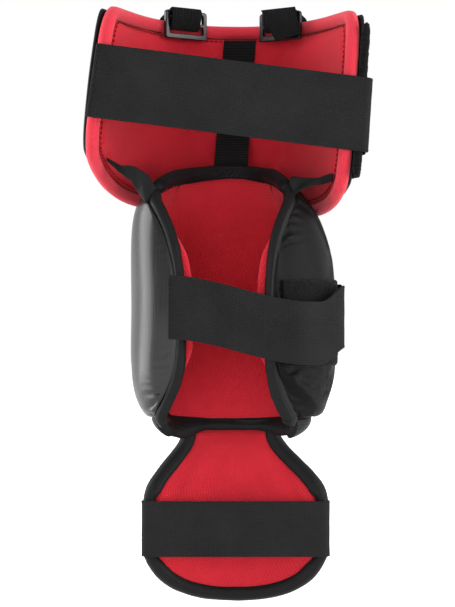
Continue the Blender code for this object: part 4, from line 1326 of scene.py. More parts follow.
    def garter(self, side: Side, p: float, frame: Matrix) -> None:
        """Make the webbing tab that holds a buckle, from the shell over the rim and round the bar.

        Args:
            side: the side of the guard.
            p: where it stands across the trough.
            frame: the buckle's frame.
        """
        inner = math.hypot(self.bar, self.plate) / 2 + SEAT
        reaches = []
        for drop in (self.garter_drop, self.garter_bend):
            face = self.skin.wall(p, frame.translation.z - drop, self.out + SEAT)
            reaches.append((face - frame.translation).dot(frame.col[1].to_3d()))
        low, high = reaches
        foot, turn = Vector((low, -self.garter_drop)), Vector((high, -self.garter_bend))
        line = rounded([foot, turn, Vector((6.0 * MM, inner))], self.garter_radius, 9)[:-1]
        for k in range(17):
            angle = math.pi / 2 + math.pi * k / 16
            line.append(Vector((inner * math.cos(angle), inner * math.sin(angle))))
        line += [Vector((5.0 * MM, -inner)), Vector((high - 6.0 * MM, -inner - 0.6 * MM))]
        steps = 160
        line = spread(line, steps)
        shifted = []
        for k, spot in enumerate(line):
            along = (line[min(k + 1, steps)] - line[max(k - 1, 0)]).normalized()
            shifted.append(spot + Vector((along.y, -along.x)) * self.webbing / 2)
        piece = self.band(side.word + "_garter_webbing", frame, shifted, self.garter_width, (0.0, 0.0))
        self.seat(piece, "thigh_guard", "black_webbing", side.word + "_garter_tab")

    def slider_webbing(self, side: Side, frame: Matrix) -> None:
        """Make the webbing threaded through a buckle, and on the right its folded tail.

        Args:
            side: the side of the guard.
            frame: the buckle's frame.
        """
        def threaded(path: Sequence[Spot]) -> list[Vector]:
            """Round the corners of a path and give even steps along it."""
            return spread(rounded([Vector(knot) * MM for knot in path], 3.0 * MM, 5), 120)

        which = 1 if side is Side.RIGHT else 0
        shift, width = self.slider_shifts[which], self.slider_widths[which]
        line = threaded(self.slider_path)
        piece = self.band(side.word + "_slider_webbing", frame, line, width, (shift, shift))
        self.seat(piece, side.word + "_buckle_swing", "black_webbing")
        if side is Side.RIGHT:
            line = threaded(self.tail_path)
            piece = self.band("right_slider_tail", frame, line, self.tail_width, self.tail_lean, 0.17, 0.8)
            self.seat(piece, "right_buckle_swing", "black_webbing")

    def buckle(self, side: Side, frame: Matrix) -> None:
        """Make a moulded slider buckle with rounded bars.

        Args:
            side: the side of the guard.
            frame: its frame, with the origin on its top bar.
        """
        soft, bar = self.buckle_soft, self.bar
        curve = bpy.data.curves.new(side.word + "_slider", "CURVE")
        curve.dimensions, curve.fill_mode = "2D", "BOTH"
        curve.extrude, curve.bevel_depth, curve.bevel_resolution = self.plate / 2 - soft, soft, 3
        curve.offset = -soft
        low_bar = -bar / 2 - self.upper_slot - bar
        bottom = low_bar - self.lower_slot - self.foot_bar
        half, slot = self.buckle_half, self.slot_half
        outlines = [(-half, half, bottom, bar / 2, self.buckle_corner)]
        outlines.append((-slot, slot, -bar / 2 - self.upper_slot, -bar / 2, self.slot_corner))
        outlines.append((-slot, slot, low_bar - self.lower_slot, low_bar, self.slot_corner))
        for left, right, low, high, radius in outlines:
            spline = curve.splines.new("POLY")
            spots = []
            for quarter, (x, y) in enumerate(((right, high), (left, high), (left, low), (right, low))):
                x += radius if x == left else -radius
                y += radius if y == low else -radius
                for k in range(7):
                    turn = math.pi / 2 * (quarter + k / 6)
                    spots.append((x + radius * math.cos(turn), y + radius * math.sin(turn)))
            spline.points.add(len(spots) - 1)
            for point, (x, y) in zip(spline.points, spots):
                point.co = (x, y, 0.0, 1.0)
            spline.use_cyclic_u = True
        carrier = bpy.data.objects.new(side.word + "_slider_curve", curve)
        mesh = bpy.data.meshes.new_from_object(carrier)
        bpy.data.objects.remove(carrier)
        mesh.transform(frame @ Matrix.Rotation(math.pi / 2, 4, "X"))
        mesh.materials.clear()
        mesh.materials.append(self.finishes["moulded_acetal"])
        piece = add_object(side.word + "_slider_buckle", mesh)
        self.seat(piece, side.word + "_buckle_swing", "buckle_plastic", side.word + "_buckle")


@dataclass(frozen=True)
class TiePath:
    """Path of a tie tape, in millimetres: where it is sewn, its knots, and its ends over the cup's corner."""

    side: Side
    sewn: Spot
    knots: tuple[Triple, ...]
    over: Triple
    tucked: Triple
    turns: tuple[Triple, ...]
    widths: tuple[float, ...]


@dataclass
class KneeCup(Assembly):
    """The knee front, its two wings, their bindings and the knee strap."""

    skin: KneeSkin = field(default_factory=KneeSkin)
    cap: float = 4.0 * MM
    swell: float = 7.8 * MM
    front_pack: float = 9.8 * MM
    wing_pack: float = 11.4 * MM
    wing_back: float = 5.0 * MM
    wing_middle: float = 7.5 * MM
    left_swell: float = 13.0 * MM
    right_swell: float = 4.0 * MM
    tongue: float = 0.09
    tongue_drop: float = 2.0 * MM
    lip_reach: Spot = (5.0 * MM, 11.0 * MM)
    lip_half: float = 60.0 * MM
    lip_fade: float = 30.0 * MM
    lip_rise: float = 2.5 * MM
    cover_reach: float = 2.6 * MM
    cover_tuck: float = 3.0 * MM
    cover_radius: float = 60.0 * MM
    # Rise, height and half length of the gathers beside each binding, in millimetres.
    left_gathers: tuple[Triple, ...] = ((1.7, -64.0, 18.0), (0.4, 44.0, 20.0))
    right_gathers: tuple[Triple, ...] = ((2.4, 44.0, 22.0), (1.6, -62.0, 24.0))
    gather_pitch: float = 6.0
    # Rise in millimetres, and angle and half width in degrees, of the ridge down the left cover.
    left_ridge: tuple[Triple, ...] = ((0.8, 130.0, 7.0), (2.6, 126.0, 16.0))
    fold_ends: tuple[Spot, Spot] = ((30.0 * MM, -45.0 * MM), (55.0 * MM, -72.0 * MM))
    fold_rise: float = 3.6 * MM
    binding: float = 4.9 * MM
    wing_binding: float = 3.9 * MM
    rim_depth: float = 2.9 * MM
    rim_foot: float = -88.0 * MM
    tape_depth: float = 4.8 * MM
    band: float = 5.0 * MM
    hem_ends: Spot = (-111.0, 127.0)
    hem_round: float = 9.0 * MM
    strap_width: float = 44.0 * MM
    strap_end: float = -11.0 * MM
    strap_flat: Spot = (-47.0 * MM, 46.0 * MM)
    strap_level: float = -5.0 * MM
    strap_fall: Spot = (18.0 * MM, 100.0 * MM)
    strap_rise: Spot = (12.0 * MM, 20.0 * MM)
    rise_start: float = 58.0 * MM
    strap_turn: float = 98.0
    strap_split: float = 0.33
    strap_spans: tuple[Spot, Spot] = ((-2.0 * MM, -40.0 * MM), (4.0 * MM, 38.0 * MM))
    pile_turns: Spot = (63.0, 152.0)
    pile_heights: Spot = (-46.0 * MM, 14.0 * MM)
    hook_turns: Spot = (92.0, 67.0)
    tab_turns: Spot = (97.0, 66.0)
    waist: float = -8.0 * MM
    # Points that span a wing's joints, at the fixed top of the cup and at the foot of its seam.
    lift_span: tuple[Triple, Triple] = ((0.0, 0.0, 64.0 * MM), (0.0, 0.0, 12.0 * MM))
    foot_span: tuple[Triple, Triple] = ((0.0, 18.0 * MM, -84.0 * MM), (0.0, -8.0 * MM, -59.0 * MM))
    ties: tuple[TiePath, ...] = (
        TiePath(
            Side.LEFT,
            sewn=(-0.905, 99.0),
            knots=((-80.8, -23.0, 91.3), (-71.8, -21.0, 88.6), (-65.5, -19.5, 82.0)),
            over=(-3.2, 0.0, -3.5),
            tucked=(-1.0, 5.5, -8.0),
            turns=((0, 0, 1), (0, 0, 1), (0.3, -0.3, 1), (0.75, -0.3, 1), (0.75, 0, 1), (0.75, 0, 1)),
            widths=(2.5, 6.0, 11.0, 14.0, 13.0, 9.0),
        ),
        TiePath(
            Side.RIGHT,
            sewn=(0.985, 85.0),
            knots=((60.0, -24.0, 83.4), (54.4, -22.0, 82.6), (46.0, -19.5, 81.6)),
            over=(2.0, 0.0, 2.0),
            tucked=(0.0, 5.5, 0.0),
            turns=((0, 0, 1), (0, 0, 1), (0, -0.4, 1), (0, 0, 1), (0, 0, 1), (0, 0, 1)),
            widths=(6.0, 5.5, 5.0, 9.0, 14.0, 10.0),
        ),
    )

    def build(self) -> None:
        """Make every piece of the knee cup."""
        self.front()
        self.rims: dict[Side, list[Frame]] = {}
        for side in Side:
            self.wing_lining(side)
            self.wing_cover(side)
            self.wing_rim(side)
        self.top_tape()
        self.bottom_band()
        self.strap_and_tab()
        for tie in self.ties:
            self.tie_tape(tie)

    def flex(
        self, piece: Piece, wing: str, slot: str, *nodes: str, fill: float | None = None
    ) -> None:
        """Cut a piece of a wing at its waist into a top and a foot, and bake the place of each.

        Args:
            piece: the piece, in its place.
            wing: the body of the wing.
            slot: the name of a material slot; not used.
            nodes: the solids it stands for.
            fill: how full it is, for a padded piece; not used.
        """
        for half, span in zip(halve(piece, self.waist), (self.lift_span, self.foot_span)):
            self.bend(half, ("knee_section", wing), span, slot, *nodes, fill=fill)

    def bowl(self, height: float) -> float:
        """Depth of the lining of the bowl at a height."""
        t = (2.0 * height - self.skin.top - self.skin.bottom) / (self.skin.top - self.skin.bottom)
        return self.front_pack + self.swell * (1.0 - min(abs(t), 1.0) ** 6)

    def front(self) -> None:
        """Make the knee cap's shell and the padded lining behind it."""
        skin = self.skin
        reach = skin.seam - 0.009

        def height_of(q: float) -> float:
            """Give the height at a share up the front."""
            return skin.bottom + (q + 1.0) / 2 * (skin.top - skin.bottom)

        def shell(p: float, q: float, side: int) -> Vector:
            """Place the shell of the cap."""
            full = fullness(p, 90.0) * fullness(q, 90.0)
            return skin.wall(p * reach, height_of(q), self.cap / 2 * (1.0 - side * full))

        piece = pillow("knee_shell", (60, 70), shell, (0.16, 0.17), self.finishes["pressed_polyethylene"])
        self.seat(piece, "knee_section", "black_plate", "knee_cap")
        spots = [(p * reach * 0.93, height_of(q * 0.93)) for p, q in square(40, 44)]
        row = skin.row(spots, 0.0, -1.0)
        self.sew("knee_shell_stitching", row, Seam.SHELL, "knee_section", "black_binding")

        def lining(p: float, q: float, side: int) -> Vector:
            """Place the lining of the bowl."""
            height = height_of(q) + 3.0 * MM * q ** 9
            middle = self.cap + 2.6 * MM
            depth = self.cap + SEAT
            if side > 0:
                depth = self.bowl(height)
                depth += 0.6 * MM * ripple(Vector((p * 70 * MM, 0.0, q * 86 * MM)), 30.0, 9.0) * (1.0 - p * p)
            return skin.wall(p * skin.seam, height, middle + (depth - middle) * fullness(q, 40.0))

        size, finish = (0.15, 0.17), self.finishes["twill_polyester_lining"]
        piece = pillow("knee_padded_lining", (70, 80), lining, size, finish, (True, True), (False, True))
        fill_out(piece)
        self.seat(piece, "knee_section", "red_lining", "knee_lining", "knee_foam", fill=0.7)

    def wing_lining(self, side: Side) -> None:
        """Make the padded lining of a wing, with a full lip in its binding and a tongue in the bowl's pad."""
        skin, tongue = self.skin, self.tongue
        swell = self.right_swell if side is Side.RIGHT else self.left_swell
        middle = self.wing_middle
        short, long = self.lip_reach

        def place(p: float, q: float, face: int) -> Vector:
            """Place the lining from its tongue to its lip."""
            u = (p + 1.0) / 2 * (1.0 + tongue) - tongue
            v = (q + 1.0) / 2
            height = skin.wing_spot(side, max(u, 0.0), v, 0.0)[1]
            lip = ease((self.lip_half - abs(height - skin.middle)) / self.lip_fade)
            angle, height = skin.wing_spot(side, u, v, short + (long - short) * lip)
            full = fullness(p, 24.0) * fullness(q, 40.0)
            depth = self.wing_back
            if face > 0:
                fat = (1.0 - max(2.0 * u - 1.0, 0.0) ** 3) * (1.0 - q ** 4)
                near = ease((0.3 - u) / 0.3)
                depth = (self.wing_pack + swell * fat) * (1.0 - near) + self.bowl(height) * near
                depth += self.lip_rise * lip * bump(u, 0.92, 0.07)
                depth -= self.tongue_drop * max(-u, 0.0) / tongue
            return skin.wall(angle, height, middle + (depth - middle) * full)

        name = side.word + "_wing_padded_lining"
        lining, backing = self.finishes["twill_polyester_lining"], self.finishes["nylon_pack_cloth"]
        piece = pillow(name, (70, 80), place, (0.1, 0.16), lining, backing=backing)
        nodes = (side.word + "_wing_lining", side.word + "_wing_foam")
        self.flex(piece, side.word + "_wing", "red_lining", *nodes, fill=0.7)

    def puckers(self, side: Side, gap: float, point: Vector) -> float:
        """Height of the small gathers that the binding pulls into a wing cover.

        Args:
            side: the side of the guard.
            gap: distance from the free edge.
            point: the place on the skin.

        Returns:
            The rise of the cloth.
        """
        height = point.z / MM
        gathers = self.right_gathers if side is Side.RIGHT else self.left_gathers
        strength = sum(rise * bump(height, middle, half) for rise, middle, half in gathers)
        wave = math.sin(2 * math.pi * height / self.gather_pitch + 5.0 * ripple(point, 17.0, 3.0))
        strength *= 0.75 + 0.9 * ripple(point, 9.0, 11.0)
        return strength * MM * wave * math.exp(-gap / (8.0 * MM)) * ease(gap / (2.5 * MM))

    def wing_cover(self, side: Side) -> None:
        """Make the outer cover of a wing: glossy vinyl on the left, pack cloth on the right."""
        skin, tuck = self.skin, self.cover_tuck
        vinyl = side is Side.LEFT

        def place(p: float, q: float, face: int) -> Vector:
            """Place the cover with its gathers, ridge or folds."""
            angle, height = skin.wing_spot(side, (p + 1.0) / 2, (q + 1.0) / 2, self.cover_reach)
            full = fullness(p, 50.0 if p > 0.0 else 90.0) * fullness(q, 60.0)
            if face <= 0:
                return skin.wall(angle, height, tuck - 0.4 * MM * face)
            point = skin.face(angle, height)
            gap = (skin.rim(side, height) - abs(angle)) * self.cover_radius
            rise = self.puckers(side, max(gap, 0.0), point)
            if vinyl:
                turn = math.degrees(-angle)
                ridge = sum(high * bump(turn, middle, half) for high, middle, half in self.left_ridge)
                rise += ridge * MM * (1.0 - q ** 6)
            else:
                rise += self.fold(point) + 0.6 * MM * ripple(point, 22.0, 4.0)
            rise += 0.3 * MM * ripple(point, 30.0, 6.0)
            return skin.wall(angle, height, tuck - (tuck + rise) * full)

        finish = self.finishes["coated_vinyl" if vinyl else "nylon_pack_cloth"]
        piece = pillow(side.word + "_wing_outer_cover", (70, 100), place, (0.09, 0.165), finish)
        if not vinyl:
            fill_out(piece, growth=0.03, cap=1.2 * MM)
        nodes = (side.word + "_wing_cover", side.word + "_collar")
        slot = "black_vinyl" if vinyl else "black_nylon"
        self.flex(piece, side.word + "_wing", slot, *nodes, fill=0.7)

    def fold(self, point: Vector) -> float:
        """Rise of the soft fold at the lower right of the pack cloth."""
        share, off = off_line((point.x, point.z), *self.fold_ends)
        return self.fold_rise * bump(off / MM, 0.0, 4.5) * bump(share, 0.5, 0.6) if point.y < 0.0 else 0.0

    def wing_rim(self, side: Side) -> None:
        """Make the folded binding tape along the free edge of a wing, let into the hem at its foot."""
        skin, low = self.skin, self.rim_foot
        heights = [low + (skin.corner_top - low) * k / 72 for k in range(73)]
        spots = [(side.value * skin.rim(side, height), height) for height in heights]
        if side is Side.LEFT:
            spots.reverse()
        line = skin.edge(spots, self.rim_depth, self.wing_binding + SEAT, False)
        self.rims[side] = line

        def section(angle: float, point: Vector) -> Spot:
            """Give the folded section, slim at the waist."""
            size = self.wing_binding * uneven(point, (angle * MM, 0.0, 0.0), 0.06, 8.0, 2.0)
            height = point.z / MM
            slim = 0.78 + 0.3 * ease((abs(height + 3.0) - 22.0) / 24.0)
            if side is Side.RIGHT:
                slim += 0.45 * bump(height, -72.0, 20.0)
            groove = 0.5 * MM * (bump(angle, 4.1, 0.2) + bump(angle, 5.35, 0.2))
            out = math.copysign(abs(math.cos(angle)) ** 0.8, math.cos(angle))
            return size * slim * out, (size * 1.08 - groove) * math.sin(angle)

        piece = roll(side.word + "_rim_tape", line, section, 36, False, self.finishes["nylon_binding_tape"])
        self.flex(piece, side.word + "_wing", "black_binding", side.word + "_rim_binding")

    def top_tape(self) -> None:
        """Make the binding tape over the top edge, with its rows of stitches."""
        skin = self.skin
        turns = [skin.corner_angle * (1.0 - k / 36) for k in range(73)]
        border = [(turn, skin.brow(turn)) for turn in turns]
        line = skin.edge(border, self.tape_depth, self.binding + 2 * SEAT, False)

        def section(angle: float, point: Vector) -> Spot:
            """Give the flattened section of the tape."""
            size = self.binding * uneven(point, (0.0, 0.0, angle * MM), 0.05, 12.0, 8.0)
            out = math.copysign(abs(math.cos(angle)) ** 0.7, math.cos(angle))
            lift = math.copysign(abs(math.sin(angle)) ** 0.7, math.sin(angle))
            return size * 1.12 * out, size * 0.94 * lift

        piece = roll("knee_top_tape", line, section, 32, False, self.finishes["nylon_binding_tape"])
        self.seat(piece, "knee_section", "black_binding", "knee_top_binding")
        row = [self.on_tape(frame, -0.62) for frame in line[6:-6]]
        self.sew("knee_top_stitching", row, Seam.STRAP, "knee_section", "black_binding")
        box = [self.on_tape(frame, 0.62 if k % 2 else -0.4) for k, frame in enumerate(line[29:43])]
        self.sew("knee_top_box_stitching", box, Seam.BOX, "knee_section", "black_binding")

    def on_tape(self, frame: Frame, share: float) -> Frame:
        """Give a point on the leg side of the top tape, at a share of its width."""
        point = frame.point + frame.out * (share * self.binding) + frame.normal * (self.binding * 0.93)
        return Frame(point, frame.out, frame.normal)

    def bottom_band(self) -> None:
        """Make the bottom hem: its middle on the front, and an end on each wing."""
        skin, (left_end, right_end) = self.skin, self.hem_ends
        ends = [skin.face(math.radians(turn), skin.bottom) for turn in self.hem_ends]

        def section(angle: float, point: Vector) -> Spot:
            """Give the section of the hem, rounded off at its ends."""
            size = self.band * uneven(point, (0.0, 0.0, 3.0 * MM * angle), 0.08, 13.0, 12.0)
            crease = 0.9 * MM * bump(angle, 1.9 + 0.5 * ripple(point, 26.0, 7.0), 0.3)
            full = ease((abs(point.x - skin.centre) - 18.0 * MM) / (22.0 * MM))
            near = min((point.xy - end.xy).length for end in ends)
            round_off = fullness(1.0 - min(near / self.hem_round, 1.0), 2.0)
            depth, drop = (0.76, 3.3 * MM) if point.x < skin.centre else (0.56, 2.2 * MM)
            wide = (size * (1.12 + depth * full) - crease) * round_off
            thick = (size * (0.95 + 0.1 * full) - crease) * round_off
            return wide * math.cos(angle) + drop * full, thick * math.sin(angle)

        seam, reach = math.degrees(skin.seam), self.band + 2 * SEAT
        stops = {"knee": (-seam, seam), "left_wing": (left_end, -seam), "right_wing": (seam, right_end)}
        for body, (first, last) in stops.items():
            turns = [math.radians(first + (last - first) * k / 48) for k in range(49)]
            line = skin.edge([(turn, skin.bottom) for turn in turns], self.tape_depth, reach, False)
            piece = roll(body + "_bottom_hem", line, section, 32, False, self.finishes["nylon_binding_tape"])
            if body == "knee":
                self.seat(piece, "knee_section", "black_binding", "knee_bottom_band")
                continue
            self.bend(piece, ("knee_section", body), self.foot_span, "black_binding", "knee_bottom_band")

    def strap_height(self, x: float) -> float:
        """Middle height of the knee strap, down to the right and up again round the wing."""
        (fall, run), (rise, climb) = self.strap_fall, self.strap_rise
        height = self.strap_level - fall * ease((x - self.strap_flat[0]) / run)
        return height + rise * ease((x - self.rise_start) / climb)

    def strap_line(self) -> list[Vector]:
        """Give the plan line of the inner face of the knee strap."""
        skin, (first, last) = self.skin, self.strap_flat
        front = min(frame.point.y for line in self.rims.values() for frame in line) - self.wing_binding - SEAT
        out = self.pile + self.hooks + 4 * SEAT
        angle = math.radians(self.strap_turn)
        end = skin.wall(angle, self.strap_end, -out)
        stop = skin.wall(angle, self.strap_end - self.strap_width / 2, -out).y - SEAT
        points = [Vector((first, front, 0.0)), Vector((last, front, 0.0))]
        points += [Vector((end.x + 3 * SEAT, stop - 20.0 * MM, 0.0)), Vector((end.x, stop, 0.0))]
        return rounded(points, 16.0 * MM, 10)

    def patch(self, turns: Spot, heights: Spot, start: float, thick: float, fuzz: float = 0.0) -> Place:
        """Give the place function of a patch on the right wing.

        Args:
            turns: its first and last angle in degrees.
            heights: its low and high edge.
            start: how far its back is outside the skin.
            thick: its thickness.
            fuzz: how rough its face and edges are.

        Returns:
            The place function.
        """
        def place(p: float, q: float, side: int) -> Vector:
            """Place the patch outside the skin."""
            rough = fuzz * ripple(Vector((p * 60 * MM, side * MM, q * 30 * MM)), 2.8, 5.0)
            angle = math.radians(turns[0] + (turns[1] - turns[0]) * (p + 1.0) / 2)
            height = heights[0] + (q + 1.0) / 2 * (heights[1] - heights[0]) + 2.0 * rough * q ** 8
            full = fullness(p, 60.0) * fullness(q, 40.0)
            lift = start + thick / 2 * (1.0 + side * full) + (rough if side > 0 else 0.0)
            return self.skin.wall(angle, height, -lift)
        return place

    def strap_and_tab(self) -> None:
        """Make the knee strap in two halves, its hook tab and the pile patch it grips."""
        line = self.strap_line()
        shape, split = (self.strap_width, self.elastic), self.strap_split
        lines, height = (lambda q: line), self.strap_height
        for side, part, span in zip(Side, ((0.0, split), (split, 1.0)), self.strap_spans):
            name = side.word + "_knee_elastic"
            piece = self.strap(name, (100, 24), lines, height, shape, "woven_elastic", part)
            start, end = ((x, line[0].y, 0.0) for x in span)
            bodies = ("knee_section", side.word + "_wing")
            self.bend(piece, bodies, (start, end), "grey_elastic", "knee_strap")
        sewn = Vector((line[0].x + 2.0 * MM, line[0].y - self.elastic, self.strap_height(line[0].x)))
        row = self.sewn_end(lambda q: sewn, self.strap_width)
        self.sew("knee_elastic_stitching", row, Seam.STRAP, "left_wing", "grey_elastic")
        low, high = self.strap_end - self.strap_width / 2, self.strap_end + self.strap_width / 2
        place = self.patch(self.pile_turns, self.pile_heights, SEAT, self.pile, 0.45 * MM)
        piece = pillow("knee_loop_pile", (80, 60), place, (0.09, 0.058), self.finishes["brushed_loop_pile"])
        self.bend(piece, ("knee_section", "right_wing"), self.foot_span, "loop_pile", "knee_loop_patch")
        start = SEAT + self.pile + SEAT
        place = self.patch(self.tab_turns, (low, high), start + self.hooks + SEAT, self.elastic)
        piece = pillow("knee_elastic_tab", (30, 14), place, (0.04, 0.044), self.finishes["woven_elastic"])
        self.seat(piece, "knee_tab", "grey_elastic", "knee_hook_tab")
        heights = (low + self.hook_trim, high - self.hook_trim)
        place = self.patch(self.hook_turns, heights, start, self.hooks)
        piece = pillow("knee_tab_hooks", (24, 14), place, (0.032, 0.04), self.finishes["moulded_hook_tape"])
        self.seat(piece, "knee_tab", "loop_pile", "knee_hook_patch")

    def tie_tape(self, tie: TiePath) -> None:
        """Make a twisted tape from the thigh guard to a top corner of the cup."""
        rim, thick = self.rims[tie.side], self.webbing
        corner = (rim[0] if tie.side is Side.LEFT else rim[-1]).point
        across_rim = Vector((0.0, -self.wing_binding * 1.1 - thick, 0.0))
        path = [ThighSkin().wall(tie.sewn[0], tie.sewn[1] * MM, -2.2 * MM)]
        path += [Vector(knot) * MM for knot in tie.knots]
        path += [corner + across_rim + Vector(tie.over) * MM, corner + Vector(tie.tucked) * MM]
        turns, last = [Vector(turn) for turn in tie.turns], len(path) - 1

        def place(p: float, q: float, face: int) -> Vector:
            """Place the twisted tape on its path."""
            spot = (p + 1.0) / 2 * last
            index = min(int(spot), last - 1)
            s = spot - index
            centre = path[index].lerp(path[index + 1], s)
            across = turns[index].lerp(turns[index + 1], s).normalized()
            along = (path[index + 1] - path[index]).normalized()
            normal = along.cross(across).normalized()
            wide = (tie.widths[index] + (tie.widths[index + 1] - tie.widths[index]) * s) * MM
            lift = thick / 2 * face * fullness(q, 30.0)
            lift += 0.8 * MM * math.sin(2.6 * q + 5.0 * p) * fullness(p, 6.0)
            return centre + across * (q * wide / 2) + normal * lift

        name = tie.side.word + "_tie_webbing"
        piece = pillow(name, (48, 14), place, (0.04, 0.015), self.finishes["nylon_binding_tape"])
        span = (path[0], path[last - 1])
        bodies = ("thigh_guard", "knee_section")
        self.bend(piece, bodies, span, "black_webbing", tie.side.word + "_tie_tape")


@dataclass
class ShinFlap(Assembly):
    """The padded flap over the top of the shin, its binding and its elastic."""

    skin: FlapSkin = field(default_factory=FlapSkin)
    pad: float = 8.3 * MM
    crown: float = 2.0 * MM
    binding: float = 4.2 * MM
    strap_width: float = 40.0 * MM
    strap_height: float = -164.0 * MM
    tuck: float = 5.0 * MM
    back_middle: float = 9.85 * MM
    back_half: float = 1.25 * MM

    def build(self) -> None:
        """Make every piece of the flap."""
        self.rim_line = self.skin.edge(self.around(), self.skin.pack / 2, self.binding + 2.4 * SEAT, False)
        self.layers()
        self.tape()
        self.strap_piece()

    @property
    def bend_span(self) -> tuple[Vector, Vector]:
        """Give the points that span the neck between the knee cup and the flap."""
        return Vector((0.0, self.skin.y, -93.0 * MM)), Vector((0.0, self.skin.y, -106.0 * MM))

    def around(self) -> list[Spot]:
        """Give the edge of the flap, down its left side, along its foot and up its right side."""
        spot, tuck = self.skin.spot, self.tuck
        line = [spot(-1.0, 1.0 - k / 20, tuck) for k in range(40)]
        line += [spot(k / 24 - 1.0, -1.0, tuck) for k in range(48)]
        return line + [spot(1.0, k / 20 - 1.0, tuck) for k in range(41)]

    def set_back(self, height: float) -> float:
        """How far the neck goes back into the hem at a height."""
        return 3.0 * MM * ease((height - self.skin.top + 2.0 * MM) / (6.0 * MM))

    def layers(self) -> None:
        """Make the padded lining and the cloth backing."""
        skin, middle = self.skin, self.pad / 2

        def lining(p: float, q: float, side: int) -> Vector:
            """Place the crowned lining."""
            across, height = skin.spot(p, q, self.tuck)
            full = fullness(p, 30.0) * fullness(q, 30.0)
            rise = middle
            if side > 0:
                rise += self.crown * (1.0 - p ** 4) * (1.0 - q ** 4)
                rise += 0.5 * MM * ripple(Vector((across * 0.056, 0.0, height)), 26.0, 2.0)
            return skin.wall(across, height, middle - side * rise * full + self.set_back(height))

        size, finish = (0.11, 0.115), self.finishes["twill_polyester_lining"]
        piece = pillow("flap_padded_lining", (70, 70), lining, size, finish)
        fill_out(piece)
        bodies = ("knee_section", "shin_flap")
        self.bend(piece, bodies, self.bend_span, "red_lining", "flap_lining", "flap_foam", fill=0.7)

        def backing(p: float, q: float, side: int) -> Vector:
            """Place the cloth backing behind the pad."""
            across, height = skin.spot(p, q, self.tuck)
            full = fullness(p, 60.0) * fullness(q, 60.0)
            return skin.wall(across, height, self.back_middle - side * self.back_half * full)

        piece = pillow("flap_cloth_backing", (50, 50), backing, size, self.finishes["nylon_pack_cloth"])
        self.bend(piece, bodies, self.bend_span, "black_nylon", "flap_backing")

    def tape(self) -> None:
        """Make the wide binding tape round the flap, slimmer where the elastic crosses it."""
        def section(angle: float, point: Vector) -> Spot:
            """Give the section of the tape, drawn towards the pad."""
            size = self.binding * uneven(point, (angle * MM, 0.0, 0.0), 0.06, 9.0, 6.0)
            clear = ease((abs(point.z - self.strap_height) - 21.0 * MM) / (7.0 * MM))
            wide, thick = size * (0.95 + 0.45 * clear), size * (1.02 + 0.44 * clear)
            return wide * math.cos(angle) - (0.5 + 1.6 * clear) * MM, thick * math.sin(angle)

        finish = self.finishes["nylon_binding_tape"]
        piece = roll("flap_binding_tape", self.rim_line, section, 32, False, finish)
        self.bend(piece, ("knee_section", "shin_flap"), self.bend_span, "black_binding", "flap_binding")

    def strap_piece(self) -> None:
        """Make the elastic that runs round the shin from one edge of the flap to the other."""
        skin, half = self.skin, self.strap_width / 2
        rim = [frame.point for frame in self.rim_line if abs(frame.point.z - self.strap_height) < half]
        front = min(point.y for point in rim) - self.binding - 2 * SEAT
        left = min(point.x for point in rim) - self.binding * 0.7
        right = max(point.x for point in rim) + self.binding * 0.7
        shares = (-0.5, -0.66, -0.82, -1.0, 1.0, 0.82, 0.66, 0.5)
        ends = [skin.wall(p, self.strap_height, skin.pack + 2 * SEAT) for p in shares]
        points = [Vector((end.x, end.y, 0.0)) for end in ends]
        middle = max(point.y for point in rim) + self.binding
        corners = [Vector((left, middle, 0.0)), Vector((left, front, 0.0))]
        corners += [Vector((right, front, 0.0)), Vector((right, middle, 0.0))]
        line = rounded(points[:4] + corners + points[4:], 3.5 * MM, 6)
        shape, height = (self.strap_width, self.elastic), self.strap_height
        lines, heights = (lambda q: line), (lambda x: height)
        piece = self.strap("flap_elastic", (180, 24), lines, heights, shape, "woven_elastic")
        self.seat(piece, "shin_flap", "grey_elastic", "flap_strap")


@dataclass(frozen=True)
class Softbox:
    """A rectangular softbox: its place, its width and height, and its power in watts."""

    name: str
    place: Triple
    size: Spot
    power: float

    def hang(self) -> None:
        """Hang the softbox so that it faces the guard."""
        lamp = bpy.data.lights.new(self.name, "AREA")
        lamp.shape, lamp.energy = "RECTANGLE", self.power
        lamp.size, lamp.size_y = self.size
        stand = add_object(self.name, lamp)
        stand.location = self.place
        stand.rotation_euler = (-Vector(self.place)).to_track_quat("-Z", "Y").to_euler()


